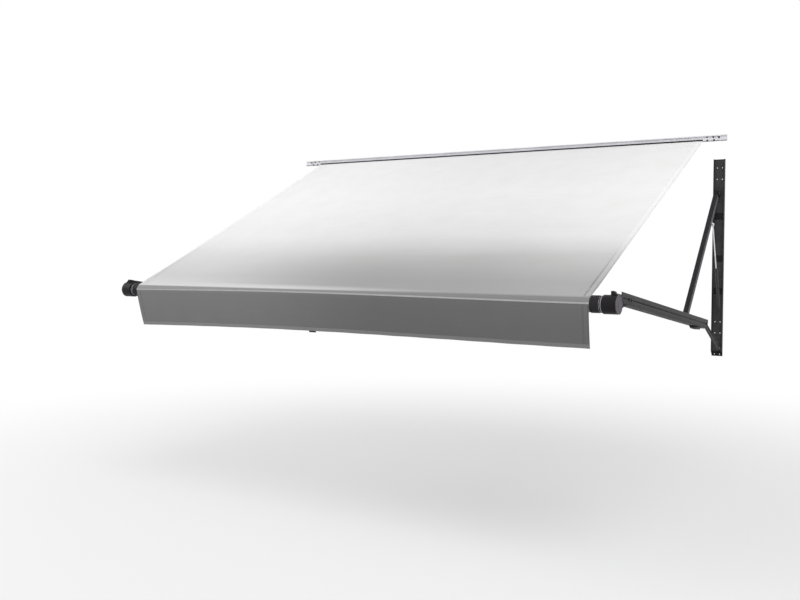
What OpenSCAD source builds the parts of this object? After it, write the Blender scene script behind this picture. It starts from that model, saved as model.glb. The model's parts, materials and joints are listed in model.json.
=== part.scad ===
// Roll out awning for the side of a caravan, drawn fully open.
// Sizes are in millimetres. The origin is the middle of the rail's back face:
// X runs along the wall, Y goes into it and Z is up.

/* [Canopy] */
// Width of the fabric
fabric_w = 3404; // [2400:1:4600]
// Thickness of the coated fabric
fabric_t = 1.2; // [0.8:0.1:2]
// Radius of the ropes sewn into the canopy's two hems
rope_r = 4; // [3:0.1:5]
// Height of the hanging valance
valance_h = 238; // [150:1:320]
// Soft waves along the valance
valance_waves = 13; // [6:1:18]
// Depth of a wave at the valance's lower edge
valance_wave_d = 7; // [2:0.5:12]
// How far the left edge of the valance leans in at the bottom
valance_lean = 45; // [0:1:60]
// How far the valance's lower edge hangs back towards the wall
valance_swing = 28; // [0:1:35]
// Height of the pale tape over the seam between canopy and valance
tape_h = 8; // [5:0.5:14]

/* [Rail] */
// Length of rail past each edge of the fabric
rail_past = 165; // [150:1:220]
// Height of the rail's flat back
rail_h = 44; // [40:1:70]
// Thickness of the rail's back
rail_t = 3; // [2.5:0.1:5]
// Wall around the rope channel
rail_wall = 2.2; // [1.6:0.1:3]
// Reach of the drip lip along the rail's top edge
drip_out = 11; // [8:0.5:16]
// Thickness of the dark seal on the front of the rope channel
seal_t = 1.5; // [1:0.1:2.5]
// Radius of a rail screw hole
rail_hole_r = 2.6; // [2:0.1:3.5]
// Spacing of the rail screw holes
rail_hole_pitch = 600; // [400:10:700]

/* [Roller] */
// Roller axis, distance out from the wall
roller_out = 2150; // [2000:1:2300]
// Roller axis, drop below the rail's middle
roller_drop = 1060; // [980:1:1140]
// Outer radius of the roller tube
tube_r = 42; // [38:0.5:46]
// Wall of the roller tube
tube_wall = 2.4; // [1.8:0.1:3.2]
// Rope grooves round the tube
groove_count = 3; // [2:1:4]
// Wall round a rope groove
groove_wall = 1.8; // [1.4:0.1:2.4]
// Width of the slot into a rope groove or the rail's channel
slot_w = 3.6; // [2.6:0.1:5]
// Radius of the ribbed end caps
cap_r = 47; // [46:0.5:50]
// Length of an end cap
cap_len = 47; // [38:1:56]
// Thickness of an end cap's end wall
cap_wall = 5; // [3:0.5:8]
// Grooves round an end cap
cap_rings = 5; // [3:1:6]
// Depth of those grooves, and of the chamfer on the cap's edges
cap_groove = 1.6; // [0.8:0.1:2]
// Tube length held inside an end cap
cap_hold = 14; // [8:1:20]

/* [Drive] */
// Radius of the tube motor
motor_r = 23; // [19:0.5:24]
// Length of the tube motor
motor_len = 420; // [300:5:600]
// Wall of the motor's housing
motor_wall = 2.5; // [2:0.1:4]
// Radius of the motor's fixed shaft and of the idler axle
shaft_r = 12; // [9:0.5:14]
// Radius of the motor's output spigot
spigot_r = 7; // [5:0.5:9]
// Width of the wheels that carry the tube
wheel_w = 22; // [14:1:32]

/* [Heads] */
// Radius of the head's drum cover
drum_r = 51; // [48:0.5:56]
// Length of the drum cover along the roller
drum_len = 77; // [68:1:86]
// Thickness of the drum cover
drum_wall = 2.5; // [1.8:0.1:4]
// Thickness of the end disc that closes the drum
disc_t = 4; // [3:0.5:6]
// Radius of the neck between drum and roller
neck_r = 27; // [22:0.5:34]
// Length of the neck
neck_len = 22; // [16:1:32]
// Radius of the hub plate in the drum
hub_r = 40; // [34:0.5:43]
// Thickness of the hub plate
hub_t = 16; // [10:1:22]
// Height of the saddle block over the drum
saddle_h = 19; // [8:1:22]
// Length of the head frame's tongue inside the arm
tongue_len = 62; // [54:1:66]

/* [Arms] */
// Upward slope of the open arms
arm_slope = 8.75; // [6:0.25:12]
// Elbow pivot to roller axis, along the arm
arm_reach = 1741.5; // [1600:0.5:1850]
// Roller axis below the arm's centre line
head_drop = 42; // [38:0.5:50]
// Arm's end to roller axis, along the arm
head_gap = 130; // [115:1:150]
// Outer cheek of the arm past that end, up to the drum
arm_cheek = 105; // [60:1:115]
// Arm past the elbow pivot
arm_tail = 30; // [24:1:32]
// Width of the arm channel
arm_w = 66; // [62:0.5:70]
// Depth of the arm channel
arm_d = 62; // [58:0.5:70]
// Wall of the arm channel
arm_wall = 3.5; // [2.5:0.1:4]
// Height of the groove along the arm's sides
arm_groove_h = 8; // [6:0.5:12]
// Height of that groove above the arm's centre line
arm_groove_up = 0; // [-10:0.5:10]
// Depth of that groove
arm_groove_d = 1.6; // [0.6:0.1:2]
// Radius of the arm's outer corners
arm_corner = 6; // [4:0.5:9]

/* [Linkage] */
// Distance of the wall pivots from the wall
pivot_out = 45; // [44:0.5:52]
// Drop of the pitch arm's wall pivot below the rail
pitch_drop = 391; // [360:1:440]
// Elbow pivot to the pitch arm's pivot, along the arm
pitch_seat = 389; // [360:1:420]
// Width of the pitch arm
pitch_w = 32; // [26:0.5:33]
// Depth of the pitch arm
pitch_d = 34; // [28:0.5:38]
// Wall of the pitch arm's tube
pitch_wall = 2; // [1.5:0.1:3]
// Depth of the inner link
link_d = 30; // [24:0.5:36]
// Depth of the pockets in the inner link's sides
link_pocket = 4; // [2:0.5:5]
// Thickness of a bracket's ears and base
ear_t = 3; // [2.5:0.1:3.5]
// Radius of the elbow pin and of the inner link's wall pin
pin_r = 6; // [5:0.1:7]
// Radius of the pitch arm's pins
pitch_pin_r = 5; // [4:0.1:6]
// Radius of the bolts through the arm
bolt_r = 5; // [4:0.1:6]

/* [Gas struts] */
// Drop of the strut's wall pivot below the rail
gas_drop = 1200; // [1150:1:1250]
// Strut's upper pivot along the pitch arm
gas_reach = 300; // [270:1:330]
// Radius of the strut's cylinder
gas_r = 9; // [8:0.25:9.5]
// Wall of the strut's cylinder
gas_wall = 1.5; // [1:0.1:2]
// Length of the strut's cylinder and eye
gas_len = 300; // [270:1:320]
// Radius of the strut's rod
rod_r = 4; // [3:0.1:4.5]
// Width of the strut's eyes
eye_w = 14; // [11:0.5:15]
// Radius of the strut's pivot pin
gas_pin_r = 4; // [3:0.1:5]

/* [Wall channels] */
// Thickness of the wall channel
channel_t = 3; // [2.5:0.1:4]
// Height of the wall channel's sides
channel_lip = 28; // [18:0.5:30]
// Room on each side of the stowed arm
channel_room = 1.5; // [1:0.1:3]
// Drop of the wall channel's top below the rail's middle
channel_drop = 150; // [120:1:200]
// Wall channel below the inner link's wall pivot
channel_past = 28; // [26:1:60]
// Radius of a wall screw hole
screw_hole_r = 3.2; // [2.5:0.1:4]
// Spacing of the wall screw holes across the channel
screw_w = 36; // [30:1:42]
// Spacing of the wall screw holes along the channel
screw_l = 80; // [50:1:120]
// Distance of the upper screws from the channel's top
screw_top = 100; // [70:1:140]
// Distance of the lower screws from the channel's end
screw_low = 170; // [130:1:190]
// Height of the foot under the wall channel
foot_h = 34; // [30:1:60]

/* [Fits] */
// Radial clearance of a pin or shaft in its bore
fit = 0.05; // [0.03:0.01:0.1]
// Gap beside a moving part
side_gap = 0.3; // [0.2:0.05:0.5]
// Gap between the fabric and its neighbours
soft_gap = 0.3; // [0.2:0.05:0.6]

/* [Hidden] */
$fn = 96;

// Colours
silver = "#d2d0d6";
black = "#1d1e22";
graphite = "#48484b";
steel = "#8d8f93";
white_vinyl = "#ecebe8";
grey_vinyl = "#727272";

// Side view points are [out from the wall, up]
function polar(r, a) = r * [cos(a), sin(a)];
function heading(a, b) = atan2(b[1] - a[1], b[0] - a[0]);

// Rope hems and their channels
hem_gap = 0.1;
sleeve_in = rope_r + hem_gap;
sleeve_out = sleeve_in + fabric_t;
channel_r = sleeve_out + soft_gap;
bead = [rail_t + channel_r, -rail_h / 2 + rail_wall + channel_r];
rail_len = fabric_w + 2 * rail_past;
rail_hole_z = 6;

// Roller
roller = [roller_out, -roller_drop];
turn_in = tube_r + hem_gap;
turn_out = turn_in + fabric_t;
groove_at = tube_r - tube_wall - channel_r;
sheet_r = turn_out + soft_gap + fabric_t / 2;
half_w = fabric_w / 2;
tube_x = half_w + cap_hold;
cap_x0 = half_w + soft_gap;
cap_x1 = half_w + cap_len;

// Canopy, tangent to the roller's top
canopy_span = norm(roller - bead);
canopy_len = sqrt(pow(canopy_span, 2) - pow(sheet_r, 2));
canopy_dir = heading(bead, roller) + asin(sheet_r / canopy_span);
canopy_tangent = canopy_dir + 90;
lap_angle = 20;
groove_a = canopy_tangent - lap_angle;

// Arm centre plane, so that the drum's inner face meets the neck
drum_shift = 11.5;
drum_x0 = -drum_len / 2 - drum_shift;
drum_x1 = drum_x0 + drum_len;
arm_x = cap_x1 + neck_len - drum_x0;
arm_in = arm_w / 2 - arm_wall;
arm_end = arm_reach - head_gap;

// Open linkage: elbow, pitch pivot on the arm and pitch pivot on the wall
arm_ahead = polar(1, arm_slope);
arm_up = polar(1, arm_slope + 90);
elbow = roller - arm_reach * arm_ahead + head_drop * arm_up;
seat = elbow + pitch_seat * arm_ahead;
pitch_top = [pivot_out, -pitch_drop];
pitch_len = norm(seat - pitch_top);
pitch_dir = heading(pitch_top, seat);

// Stowed, all four pivots lie on one upright line. That fixes the link's wall pivot.
elbow_stow = pitch_top[1] - pitch_len - pitch_seat;
link_z = (pow(elbow_stow, 2) - pow(elbow[1], 2) - pow(elbow[0] - pivot_out, 2))
    / (2 * (elbow_stow - elbow[1]));
link_base = [pivot_out, link_z];
link_len = link_z - elbow_stow;
link_dir = heading(link_base, elbow);

// Gas strut
gas_base = [pivot_out, -gas_drop];
gas_top = pitch_top + polar(gas_reach, pitch_dir);
gas_open = norm(gas_top - gas_base);
gas_dir = heading(gas_base, gas_top);
gas_stow = gas_drop - pitch_drop - gas_reach;
rod_tail = 45;
rod_start = gas_open - gas_stow + rod_tail;
piston_t = 10;
gland_t = 12;

// Planes across the inside of the arm: pitch arm, then link and gas strut
plane_room = 1.2;
ear_room = 0.5;
gas_room = 1.5;
pitch_ear = -arm_in + plane_room;
pitch_x0 = pitch_ear + ear_t + side_gap;
pitch_x1 = pitch_x0 + pitch_w;
link_ear = pitch_x1 + 2 * side_gap;
link_x0 = link_ear + ear_t + side_gap;
link_x1 = arm_in - ear_room - ear_t - side_gap;
gas_x = arm_in - gas_r - gas_room;
eye_x0 = gas_x - eye_w / 2;
eye_x1 = gas_x + eye_w / 2;
gas_ear = eye_x0 - side_gap - ear_t;

// Wall channel
channel_in = arm_w / 2 + channel_room;
channel_out = channel_in + channel_t;
channel_z1 = -channel_drop;
channel_z0 = link_z - channel_past;
screws_top = channel_z1 - screw_top;
screws_low = channel_z0 + screw_low;

// Motor
motor_gap = 2;
motor_x1 = cap_x1 - cap_wall - motor_gap;
motor_x0 = motor_x1 - motor_len;

// Sizes of the fold, for whoever sets the joints
echo(pivots = [elbow, pitch_top, link_base, gas_base, roller], arm_x = arm_x);
echo(link = [link_dir, link_dir + 90], arm = 90 - arm_slope, pitch = [pitch_dir, pitch_dir + 90]);
echo(gas = [gas_dir, 90 - gas_dir, gas_open, gas_stow], link_len = link_len, elbow_stow = elbow_stow);
echo(channel = [channel_z0, channel_z1, screws_top, screws_low], canopy = [canopy_dir, canopy_len, bead]);

// Moves children to a point of the side view and tilts them up
module at_side(p, tilt = 0) translate([0, -p[0], p[1]]) rotate([-tilt, 0, 0]) children();

// Right side as drawn, left side mirrored, both from the arm's centre plane
module on_side(s) mirror([s < 0 ? 1 : 0, 0, 0]) translate([arm_x, 0, 0]) children();

// Frame of an open arm: outward along the arm, up across it
module in_arm(s) on_side(s) at_side(elbow, arm_slope) children();

// Extrudes a section drawn across and up, outward from start to end
module run_out(start, end)
    translate([0, -start, 0]) rotate([90, 0, 0]) linear_extrude(end - start) children();

// Extrudes a side view across the part from x0 to x1
module across(x0, x1) translate([x1, 0, 0]) rotate([90, 0, -90]) linear_extrude(x1 - x0) children();

// Round bar across the part
module bar(r, x0, x1) translate([x0, 0, 0]) rotate([0, 90, 0]) cylinder(r = r, h = x1 - x0);

// Round bar outward from start to end
module rod(r, start, end)
    translate([0, -start, 0]) rotate([90, 0, 0]) cylinder(r = r, h = end - start);

module round_rect(w, h, r) {
    square([w - 2 * r, h], center = true);
    square([w, h - 2 * r], center = true);
    for (x = [-1, 1], y = [-1, 1])
        translate([x * (w / 2 - r), y * (h / 2 - r)]) circle(r);
}

// Slot outline from the origin to l
module stadium(l, r) {
    circle(r);
    translate([l, 0]) circle(r);
    translate([0, -r]) square([l, 2 * r]);
}

// Part of a ring between two angles
module arc_band(r0, r1, a0, a1) intersection() {
    difference() {
        circle(r1);
        circle(r0);
    }
    polygon([[0, 0], polar(2 * r1, a0), polar(2 * r1, a1)]);
}

// Fabric folded round a rope
module rope_hem(tail) difference() {
    union() {
        circle(sleeve_out);
        translate([0, -fabric_t / 2]) square([tail, fabric_t]);
    }
    circle(sleeve_in);
}

// Rail section: flat back, rope channel below and drip lip above
module rail_section() difference() {
    union() {
        translate([0, -rail_h / 2]) square([rail_t, rail_h]);
        translate(bead) circle(channel_r + rail_wall);
        translate([0, -rail_h / 2]) square([bead[0], 2 * rail_wall]);
        translate([0, rail_h / 2 - rail_wall]) square([drip_out, rail_wall]);
        translate([drip_out - rail_wall, rail_h / 2 - 3 * rail_wall]) square([rail_wall, 3 * rail_wall]);
    }
    translate(bead) circle(channel_r);
    translate(bead) rotate(canopy_dir) translate([0, -slot_w / 2]) square([3 * channel_r, slot_w]);
}

// Round hole from the wall outward through a plate
module wall_hole(r, t) translate([0, 1, 0]) rotate([90, 0, 0]) cylinder(r = r, h = t + 2);

module awning_rail() color(silver) difference() {
    across(-rail_len / 2, rail_len / 2) rail_section();
    for (i = [-2.5 : 2.5])
        translate([i * rail_hole_pitch, 0, rail_hole_z]) wall_hole(rail_hole_r, rail_t);
}

// Dark strip on the front of the rope channel, over the fabric's width
seal_r = channel_r + rail_wall + fit;
seal_a0 = canopy_dir + 16;
seal_a1 = 95;
module rail_seal() color(black) at_side(bead) across(-half_w, half_w)
    arc_band(seal_r, seal_r + seal_t, seal_a0, seal_a1);

module canopy_bead() color("white") at_side(bead) bar(rope_r, -half_w, half_w);

module canopy() color(white_vinyl) at_side(bead, canopy_dir) across(-half_w, half_w) rope_hem(canopy_len);

// Four screw holes through the wall channel's base
module screw_holes(z)
    for (x = [-0.5, 0.5], i = [-0.5, 0.5])
        translate([x * screw_w, 0, z + i * screw_l]) wall_hole(screw_hole_r, channel_t);

module wall_channel(s) color(graphite) on_side(s) difference() {
    translate([-channel_in, -channel_t, channel_z0]) cube([2 * channel_in, channel_t, channel_z1 - channel_z0]);
    screw_holes(screws_top);
    screw_holes(screws_low);
}

// Two side strips against the edges of the wall channel's base, each with a bead along it
module channel_sides(s) color(graphite) on_side(s)
    for (x = [-channel_out, channel_out])
        translate([0, 0, channel_z0]) linear_extrude(channel_z1 - channel_z0) {
            translate([x < 0 ? x : channel_in, -channel_lip]) square([channel_t, channel_lip]);
            translate([x, -channel_lip + channel_t]) circle(channel_t / 2);
        }

// Foot that the wall channel stands on: a plate with two gussets beside the stowed arm, and two screw holes
module wall_foot(s) color(black) on_side(s) translate([0, 0, channel_z0]) difference() {
    union() {
        translate([0, 0, -foot_h]) linear_extrude(foot_h) translate([-channel_out, -2 * channel_t])
            square([2 * channel_out, 2 * channel_t]);
        for (x = [-channel_out, channel_in])
            across(x, x + channel_t) polygon([[0, 0], [channel_lip, 0], [0, -foot_h]]);
    }
    for (x = [-0.5, 0.5])
        translate([x * screw_w, 0, -0.6 * foot_h]) wall_hole(screw_hole_r, 2 * channel_t);
}

// Bracket with round ears at the given planes, seated on the wall channel
module bracket(p, ears, x0, x1, r, bore) at_side(p) difference() {
    reach = pivot_out - channel_t;
    union() {
        for (x = ears)
            across(x, x + ear_t) {
                circle(r);
                translate([-reach, -r]) square([reach, 2 * r]);
            }
        translate([x0, reach - ear_t, -1.8 * r]) cube([x1 - x0, ear_t, 3.6 * r]);
    }
    bar(bore + fit, x0 - 1, x1 + 1);
}

module pitch_bracket(s) color(graphite) on_side(s)
    bracket(pitch_top, [pitch_ear, pitch_x1 + side_gap], pitch_ear, pitch_x1 + side_gap + ear_t,
        2.4 * pitch_pin_r, pitch_pin_r);

module link_bracket(s) color(graphite) on_side(s)
    bracket(link_base, [link_ear, link_x1 + side_gap], link_ear, link_x1 + side_gap + ear_t,
        2.2 * pin_r, pin_r);

module gas_bracket(s) color(graphite) on_side(s)
    bracket(gas_base, [gas_ear], gas_ear, eye_x1 + ear_t, 2.4 * gas_pin_r, gas_pin_r);

module pitch_pin(s) color(steel) on_side(s) at_side(pitch_top)
    bar(pitch_pin_r, pitch_ear, pitch_x1 + side_gap + ear_t);

module link_pin(s) color(steel) on_side(s) at_side(link_base)
    bar(pin_r, link_ear, link_x1 + side_gap + ear_t);

module gas_pin(s) color(steel) on_side(s) at_side(gas_base) bar(gas_pin_r, gas_ear, eye_x1 + gas_room);

// Forged link with a pocket in each side
module inner_link(s) color(graphite) on_side(s) at_side(link_base, link_dir) {
    eye = link_d / 2;
    difference() {
        across(link_x0, link_x1) stadium(link_len, eye);
        for (x = [link_x0 - 1, link_x1 - link_pocket])
            across(x, x + link_pocket + 1)
                translate([2 * eye, 0]) stadium(link_len - 4 * eye, eye - link_pocket - 1);
        for (u = [0, link_len])
            at_side([u, 0]) bar(pin_r + fit, link_x0 - 1, link_x1 + 1);
    }
}

// Channel section of an arm: open on top, grooved sides, ribbed floor
module arm_section() difference() {
    round_rect(arm_w, arm_d, arm_corner);
    translate([-arm_in, -arm_d / 2 + arm_wall]) square([2 * arm_in, arm_d]);
    for (x = [-arm_w / 2, arm_w / 2])
        square_at([x, arm_groove_up], [2 * arm_groove_d, arm_groove_h]);
    for (x = [-0.25, 0.25])
        square_at([x * arm_w, -arm_d / 2], [0.2 * arm_w, arm_groove_d]);
}

// Outer side of that section alone
module cheek_section() intersection() {
    arm_section();
    translate([arm_in, -arm_d]) square([arm_w, 2 * arm_d]);
}

module square_at(p, size) translate(p) square(size, center = true);

// Places of the bolts that hold the head frame's tongue, along the arm
function tongue_bolts() = [arm_end - 0.8 * tongue_len, arm_end - 0.25 * tongue_len];

// Room between the cheek's hollow end and the drum
cheek_room = 1.5;
module arm(s) color(graphite) in_arm(s) difference() {
    union() {
        run_out(-arm_tail, arm_end) arm_section();
        run_out(arm_end - 1, arm_end + arm_cheek) cheek_section();
    }
    at_side([arm_reach, -head_drop]) bar(drum_r + cheek_room, -arm_w, arm_w);
    bar(pin_r + fit, -arm_w, arm_w);
    for (u = tongue_bolts())
        at_side([u, 0]) bar(bolt_r + fit, -arm_w, arm_w);
    at_side([pitch_seat, 0]) bar(bolt_r + fit, -arm_w, 0);
}

// Elbow pin with a low round head on each side of the arm
module elbow_pin(s) color(steel) in_arm(s) {
    bar(pin_r, -arm_w / 2, arm_w / 2);
    for (x = [-arm_w / 2 - pin_r / 2, arm_w / 2])
        bar(1.7 * pin_r, x, x + pin_r / 2);
}

module elbow_spacers(s) color(steel) in_arm(s)
    for (span = [[-arm_in, link_x0 - side_gap], [link_x1 + side_gap, arm_in]])
        difference() {
            bar(1.6 * pin_r, span[0], span[1]);
            bar(pin_r + fit, span[0] - 1, span[1] + 1);
        }

// Bolts through the arm into the tongue, and the pitch arm's pivot bolt in the inner wall
module arm_bolts(s) color(steel) in_arm(s) {
    head = 0.8 * bolt_r;
    for (u = tongue_bolts())
        at_side([u, 0]) {
            bar(bolt_r, -arm_w / 2, arm_w / 2);
            for (x = [-arm_w / 2 - head, arm_w / 2])
                bar(1.8 * bolt_r, x, x + head);
        }
    at_side([pitch_seat, 0]) {
        bar(bolt_r, -arm_w / 2, -arm_in);
        bar(2 * bolt_r, -arm_w / 2 - head, -arm_w / 2);
    }
}

// Web of the head frame: half width, lap in the arm, reach past the roller axis, step below the arm's top
web_x = arm_in - 5;
web_lap = 5;
web_past = 12;
web_step = 8;

// Side view of the web, from the arm's end to the hub
module web_outline(grow) polygon([
    [arm_end - web_lap, -arm_d / 2 + arm_wall - grow],
    [arm_end, -arm_d / 2 + arm_wall - grow],
    [arm_reach - web_past, -head_drop - 0.85 * hub_r - grow],
    [arm_reach + web_past + grow, -head_drop],
    [arm_reach + web_past + grow, -head_drop + 0.9 * hub_r + grow],
    [arm_end - web_lap, arm_d / 2 - web_step + grow]]);

// Cast frame: tongue in the arm, web, hub plate and neck
module head_frame(s) color(black) in_arm(s) difference() {
    union() {
        difference() {
            run_out(arm_end - tongue_len, arm_end)
                translate([-arm_in + side_gap, -arm_d / 2 + arm_wall])
                square([2 * (arm_in - side_gap), arm_d - arm_wall - web_step]);
            run_out(arm_end - tongue_len - 1, arm_end - 0.2 * tongue_len)
                translate([-web_x + arm_wall, -arm_d / 2 + 3 * arm_wall])
                square([2 * (web_x - arm_wall), arm_d]);
        }
        across(-web_x, web_x) web_outline(0);
        at_side([arm_reach, -head_drop]) {
            bar(hub_r, -web_x, -web_x + hub_t);
            bar(neck_r, drum_x0 - neck_len + motor_gap, -web_x + 1);
        }
    }
    at_side([arm_reach, -head_drop]) bar(shaft_r + fit, -arm_x, -web_x + hub_t + 1);
    at_side([arm_reach, -head_drop]) bar(0.8 * hub_r, -web_x + hub_t, arm_w);
    for (u = tongue_bolts())
        at_side([u, 0]) bar(bolt_r + fit, -arm_w, arm_w);
}

// Drum cover with a saddle block on top that slopes down to the end disc
saddle_back = 38;
saddle_w = 16;
saddle_x0 = drum_x1 - saddle_back;
saddle_x1 = saddle_x0 + saddle_w;
module head_cover(s) color(black) in_arm(s) difference() {
    at_side([arm_reach, -head_drop]) {
        difference() {
            bar(drum_r, drum_x0, drum_x1);
            bar(drum_r - drum_wall, drum_x0 + drum_wall, drum_x1 + 1);
            bar(neck_r + 1, drum_x0 - 1, drum_x1);
        }
        difference() {
            run_out(-0.3 * drum_r, 0.4 * drum_r) polygon([
                [saddle_x0, 0.8 * drum_r], [saddle_x0, drum_r + saddle_h],
                [saddle_x1, drum_r + saddle_h], [saddle_x1 + 4, drum_r + 0.6 * saddle_h],
                [drum_x1, 0.94 * drum_r], [drum_x1, 0.8 * drum_r]]);
            bar(drum_r - drum_wall, drum_x0 - 1, drum_x1 + 1);
        }
    }
    across(-web_x - side_gap, web_x + side_gap) web_outline(side_gap);
}

// Flat disc with a low rim and a round boss
module head_disc(s) color("#6f6e74") in_arm(s) at_side([arm_reach, -head_drop]) {
    difference() {
        bar(drum_r, drum_x1, drum_x1 + disc_t);
        bar(0.9 * drum_r, drum_x1 + disc_t - 1, drum_x1 + disc_t + 1);
    }
    bar(0.35 * drum_r, drum_x1 + disc_t - 1, drum_x1 + disc_t);
}

// Hollow motor housing, its fixed shaft into the right head, and a socket for the output spigot
module drive_motor() color(steel) at_side(roller) difference() {
    union() {
        bar(motor_r, motor_x0, motor_x1);
        bar(shaft_r, motor_x1 - 1, arm_x - web_x + hub_t);
    }
    bar(spigot_r + fit, motor_x0 - 1, motor_x0 + wheel_w + 1);
    bar(motor_r - motor_wall, motor_x0 + wheel_w, motor_x1 - wheel_w);
}

module idler_axle() color(steel) at_side(roller)
    bar(shaft_r, -arm_x + web_x - hub_t, -tube_x + 2.2 * wheel_w);

// Tube of the pitch arm, with the stud for the gas strut
module pitch_arm(s) color("#3b3b43") on_side(s) at_side(pitch_top, pitch_dir) {
    mid = (pitch_x0 + pitch_x1) / 2;
    difference() {
        run_out(pitch_d + fit, pitch_len - pitch_d - fit) translate([mid, 0]) difference() {
            round_rect(pitch_w, pitch_d, pitch_wall);
            square([pitch_w - 2 * pitch_wall, pitch_d - 2 * pitch_wall], center = true);
        }
        for (x = [pitch_x0 - 1, pitch_x1 - pitch_wall / 4])
            translate([x, -pitch_len + 2 * pitch_d, -pitch_wall])
                cube([1 + pitch_wall / 4, pitch_len - 4 * pitch_d - 1.2 * gas_reach, 2 * pitch_wall]);
    }
    at_side([gas_reach, 0]) bar(1.5 * gas_pin_r, pitch_x1 - pitch_wall / 2, eye_x0 - side_gap);
}

// Eye that plugs into an end of the pitch arm, pointing back along it
module pitch_eye() {
    plug = 2 * fit;
    across(pitch_x0, pitch_x1) {
        circle(pitch_d / 2);
        translate([0, -pitch_d / 2]) square([pitch_d, pitch_d]);
    }
    translate([pitch_x0 + pitch_wall + plug, -2 * pitch_d, -pitch_d / 2 + pitch_wall + plug])
        cube([pitch_w - 2 * (pitch_wall + plug), pitch_d + 1, pitch_d - 2 * (pitch_wall + plug)]);
}

module pitch_head(s) color(black) on_side(s) at_side(pitch_top, pitch_dir) difference() {
    pitch_eye();
    bar(pitch_pin_r + fit, pitch_x0 - 1, pitch_x1 + 1);
}

// Lower eye, with the stub that faces the pivot bolt in the arm's wall
module pitch_toe(s) color(black) on_side(s) at_side(seat, pitch_dir + 180) {
    pitch_eye();
    bar(1.6 * bolt_r, -arm_in + side_gap, pitch_x0 + 1);
}

// Cylinder of a gas strut: eye, hollow barrel and end gland
module gas_cylinder(s) color(black) on_side(s) at_side(gas_base, gas_dir) difference() {
    neck = 1.45 * gas_r;
    bottom = neck + rod_r;
    union() {
        across(eye_x0, eye_x1) circle(gas_r);
        translate([gas_x, 0, 0]) {
            rod(gas_r * 0.6, 0, neck + 1);
            rod(gas_r, neck, gas_len);
        }
    }
    bar(gas_pin_r + fit, eye_x0 - 1, eye_x1 + 1);
    translate([gas_x, 0, 0]) {
        rod(gas_r - gas_wall, bottom, gas_len - gland_t);
        rod(rod_r + fit, bottom, gas_len + 1);
    }
}

// Rod of a gas strut: piston, rod and upper eye
module gas_rod(s) color("#b9bbbf") on_side(s) at_side(gas_base, gas_dir) {
    translate([gas_x, 0, 0]) {
        rod(gas_r - gas_wall - fit, rod_start - piston_t, rod_start);
        rod(rod_r, rod_start - 1, gas_open - gas_r + 1);
    }
    at_side([gas_open, 0]) across(eye_x0, eye_x1) circle(gas_r);
}

// Angles of the rope grooves round the tube, the canopy's own groove first
function groove_angles() = [for (i = [0 : groove_count - 1]) groove_a + i * 360 / groove_count];

// Inside outline of the tube: a round bore less the backs of the grooves
module tube_bore(gap) difference() {
    circle(tube_r - tube_wall - gap);
    for (a = groove_angles())
        rotate(a) translate([groove_at, 0]) circle(channel_r + groove_wall + gap);
}

module roller_tube() color(steel) at_side(roller) across(-tube_x, tube_x) difference() {
    circle(tube_r);
    tube_bore(0);
    for (a = groove_angles())
        rotate(a) {
            translate([groove_at, 0]) circle(channel_r);
            translate([groove_at, -slot_w / 2]) square([tube_r, slot_w]);
        }
}

// Outline of an end cap from its axis outward: chamfered edges and a row of round grooves
cap_ring_gap = (cap_x1 - cap_x0) / (cap_rings + 1);
module cap_outline() difference() {
    polygon([[0, cap_x0], [cap_r - cap_groove, cap_x0], [cap_r, cap_x0 + cap_groove],
        [cap_r, cap_x1 - 2 * cap_groove], [cap_r - 2 * cap_groove, cap_x1], [0, cap_x1]]);
    for (i = [1 : cap_rings])
        translate([cap_r, cap_x0 + i * cap_ring_gap]) square(2 * cap_groove, center = true);
}

// Grooved cap over an end of the tube
module roller_cap(s) color(black) mirror([s < 0 ? 1 : 0, 0, 0]) at_side(roller) difference() {
    rotate([0, 90, 0]) rotate_extrude() cap_outline();
    bar(tube_r + fit, cap_x0 - 1, tube_x);
    bar(tube_r - 2 * tube_wall, tube_x - 1, cap_x1 - cap_wall);
    bar(shaft_r + 2, cap_x0, cap_x1 + 1);
}

// Wheel keyed on the grooves' backs
module tube_wheel(x0, bore) across(x0, x0 + wheel_w) difference() {
    tube_bore(2 * fit);
    circle(bore);
}

// Wheel turned by the motor, with the spigot in the motor's socket
module drive_wheel() color(graphite) at_side(roller) {
    tube_wheel(motor_x0 - wheel_w - motor_gap, spigot_r - 1);
    bar(spigot_r, motor_x0 - wheel_w - motor_gap, motor_x0 + wheel_w - motor_gap);
}

// Ring that carries the tube on the motor's fixed end
module motor_crown() color(graphite) at_side(roller) tube_wheel(tube_x - wheel_w, motor_r + fit);

module idler_bush() color(graphite) at_side(roller) tube_wheel(-tube_x, shaft_r + fit);

// Last turn of fabric that stays on the roller, with its rope hem in a groove
module canopy_turn() color(white_vinyl) at_side(roller) across(-half_w, half_w) {
    difference() {
        circle(turn_out);
        circle(turn_in);
    }
    rotate(groove_a) translate([groove_at, 0]) rope_hem(turn_in + fabric_t / 2 - groove_at);
}

module canopy_rope() color("white") at_side(roller) across(-half_w, half_w)
    rotate(groove_a) translate([groove_at, 0]) circle(rope_r);

// Pale tape over the seam, above the valance's top edge
tape_a0 = 5;
tape_a1 = tape_a0 + tape_h / turn_out * 180 / PI;
module seam_tape() color("#bdbdbd") at_side(roller) across(-half_w, half_w)
    arc_band(turn_out + soft_gap / 3, turn_out + soft_gap / 3 + fabric_t, tape_a0, tape_a1);

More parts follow.
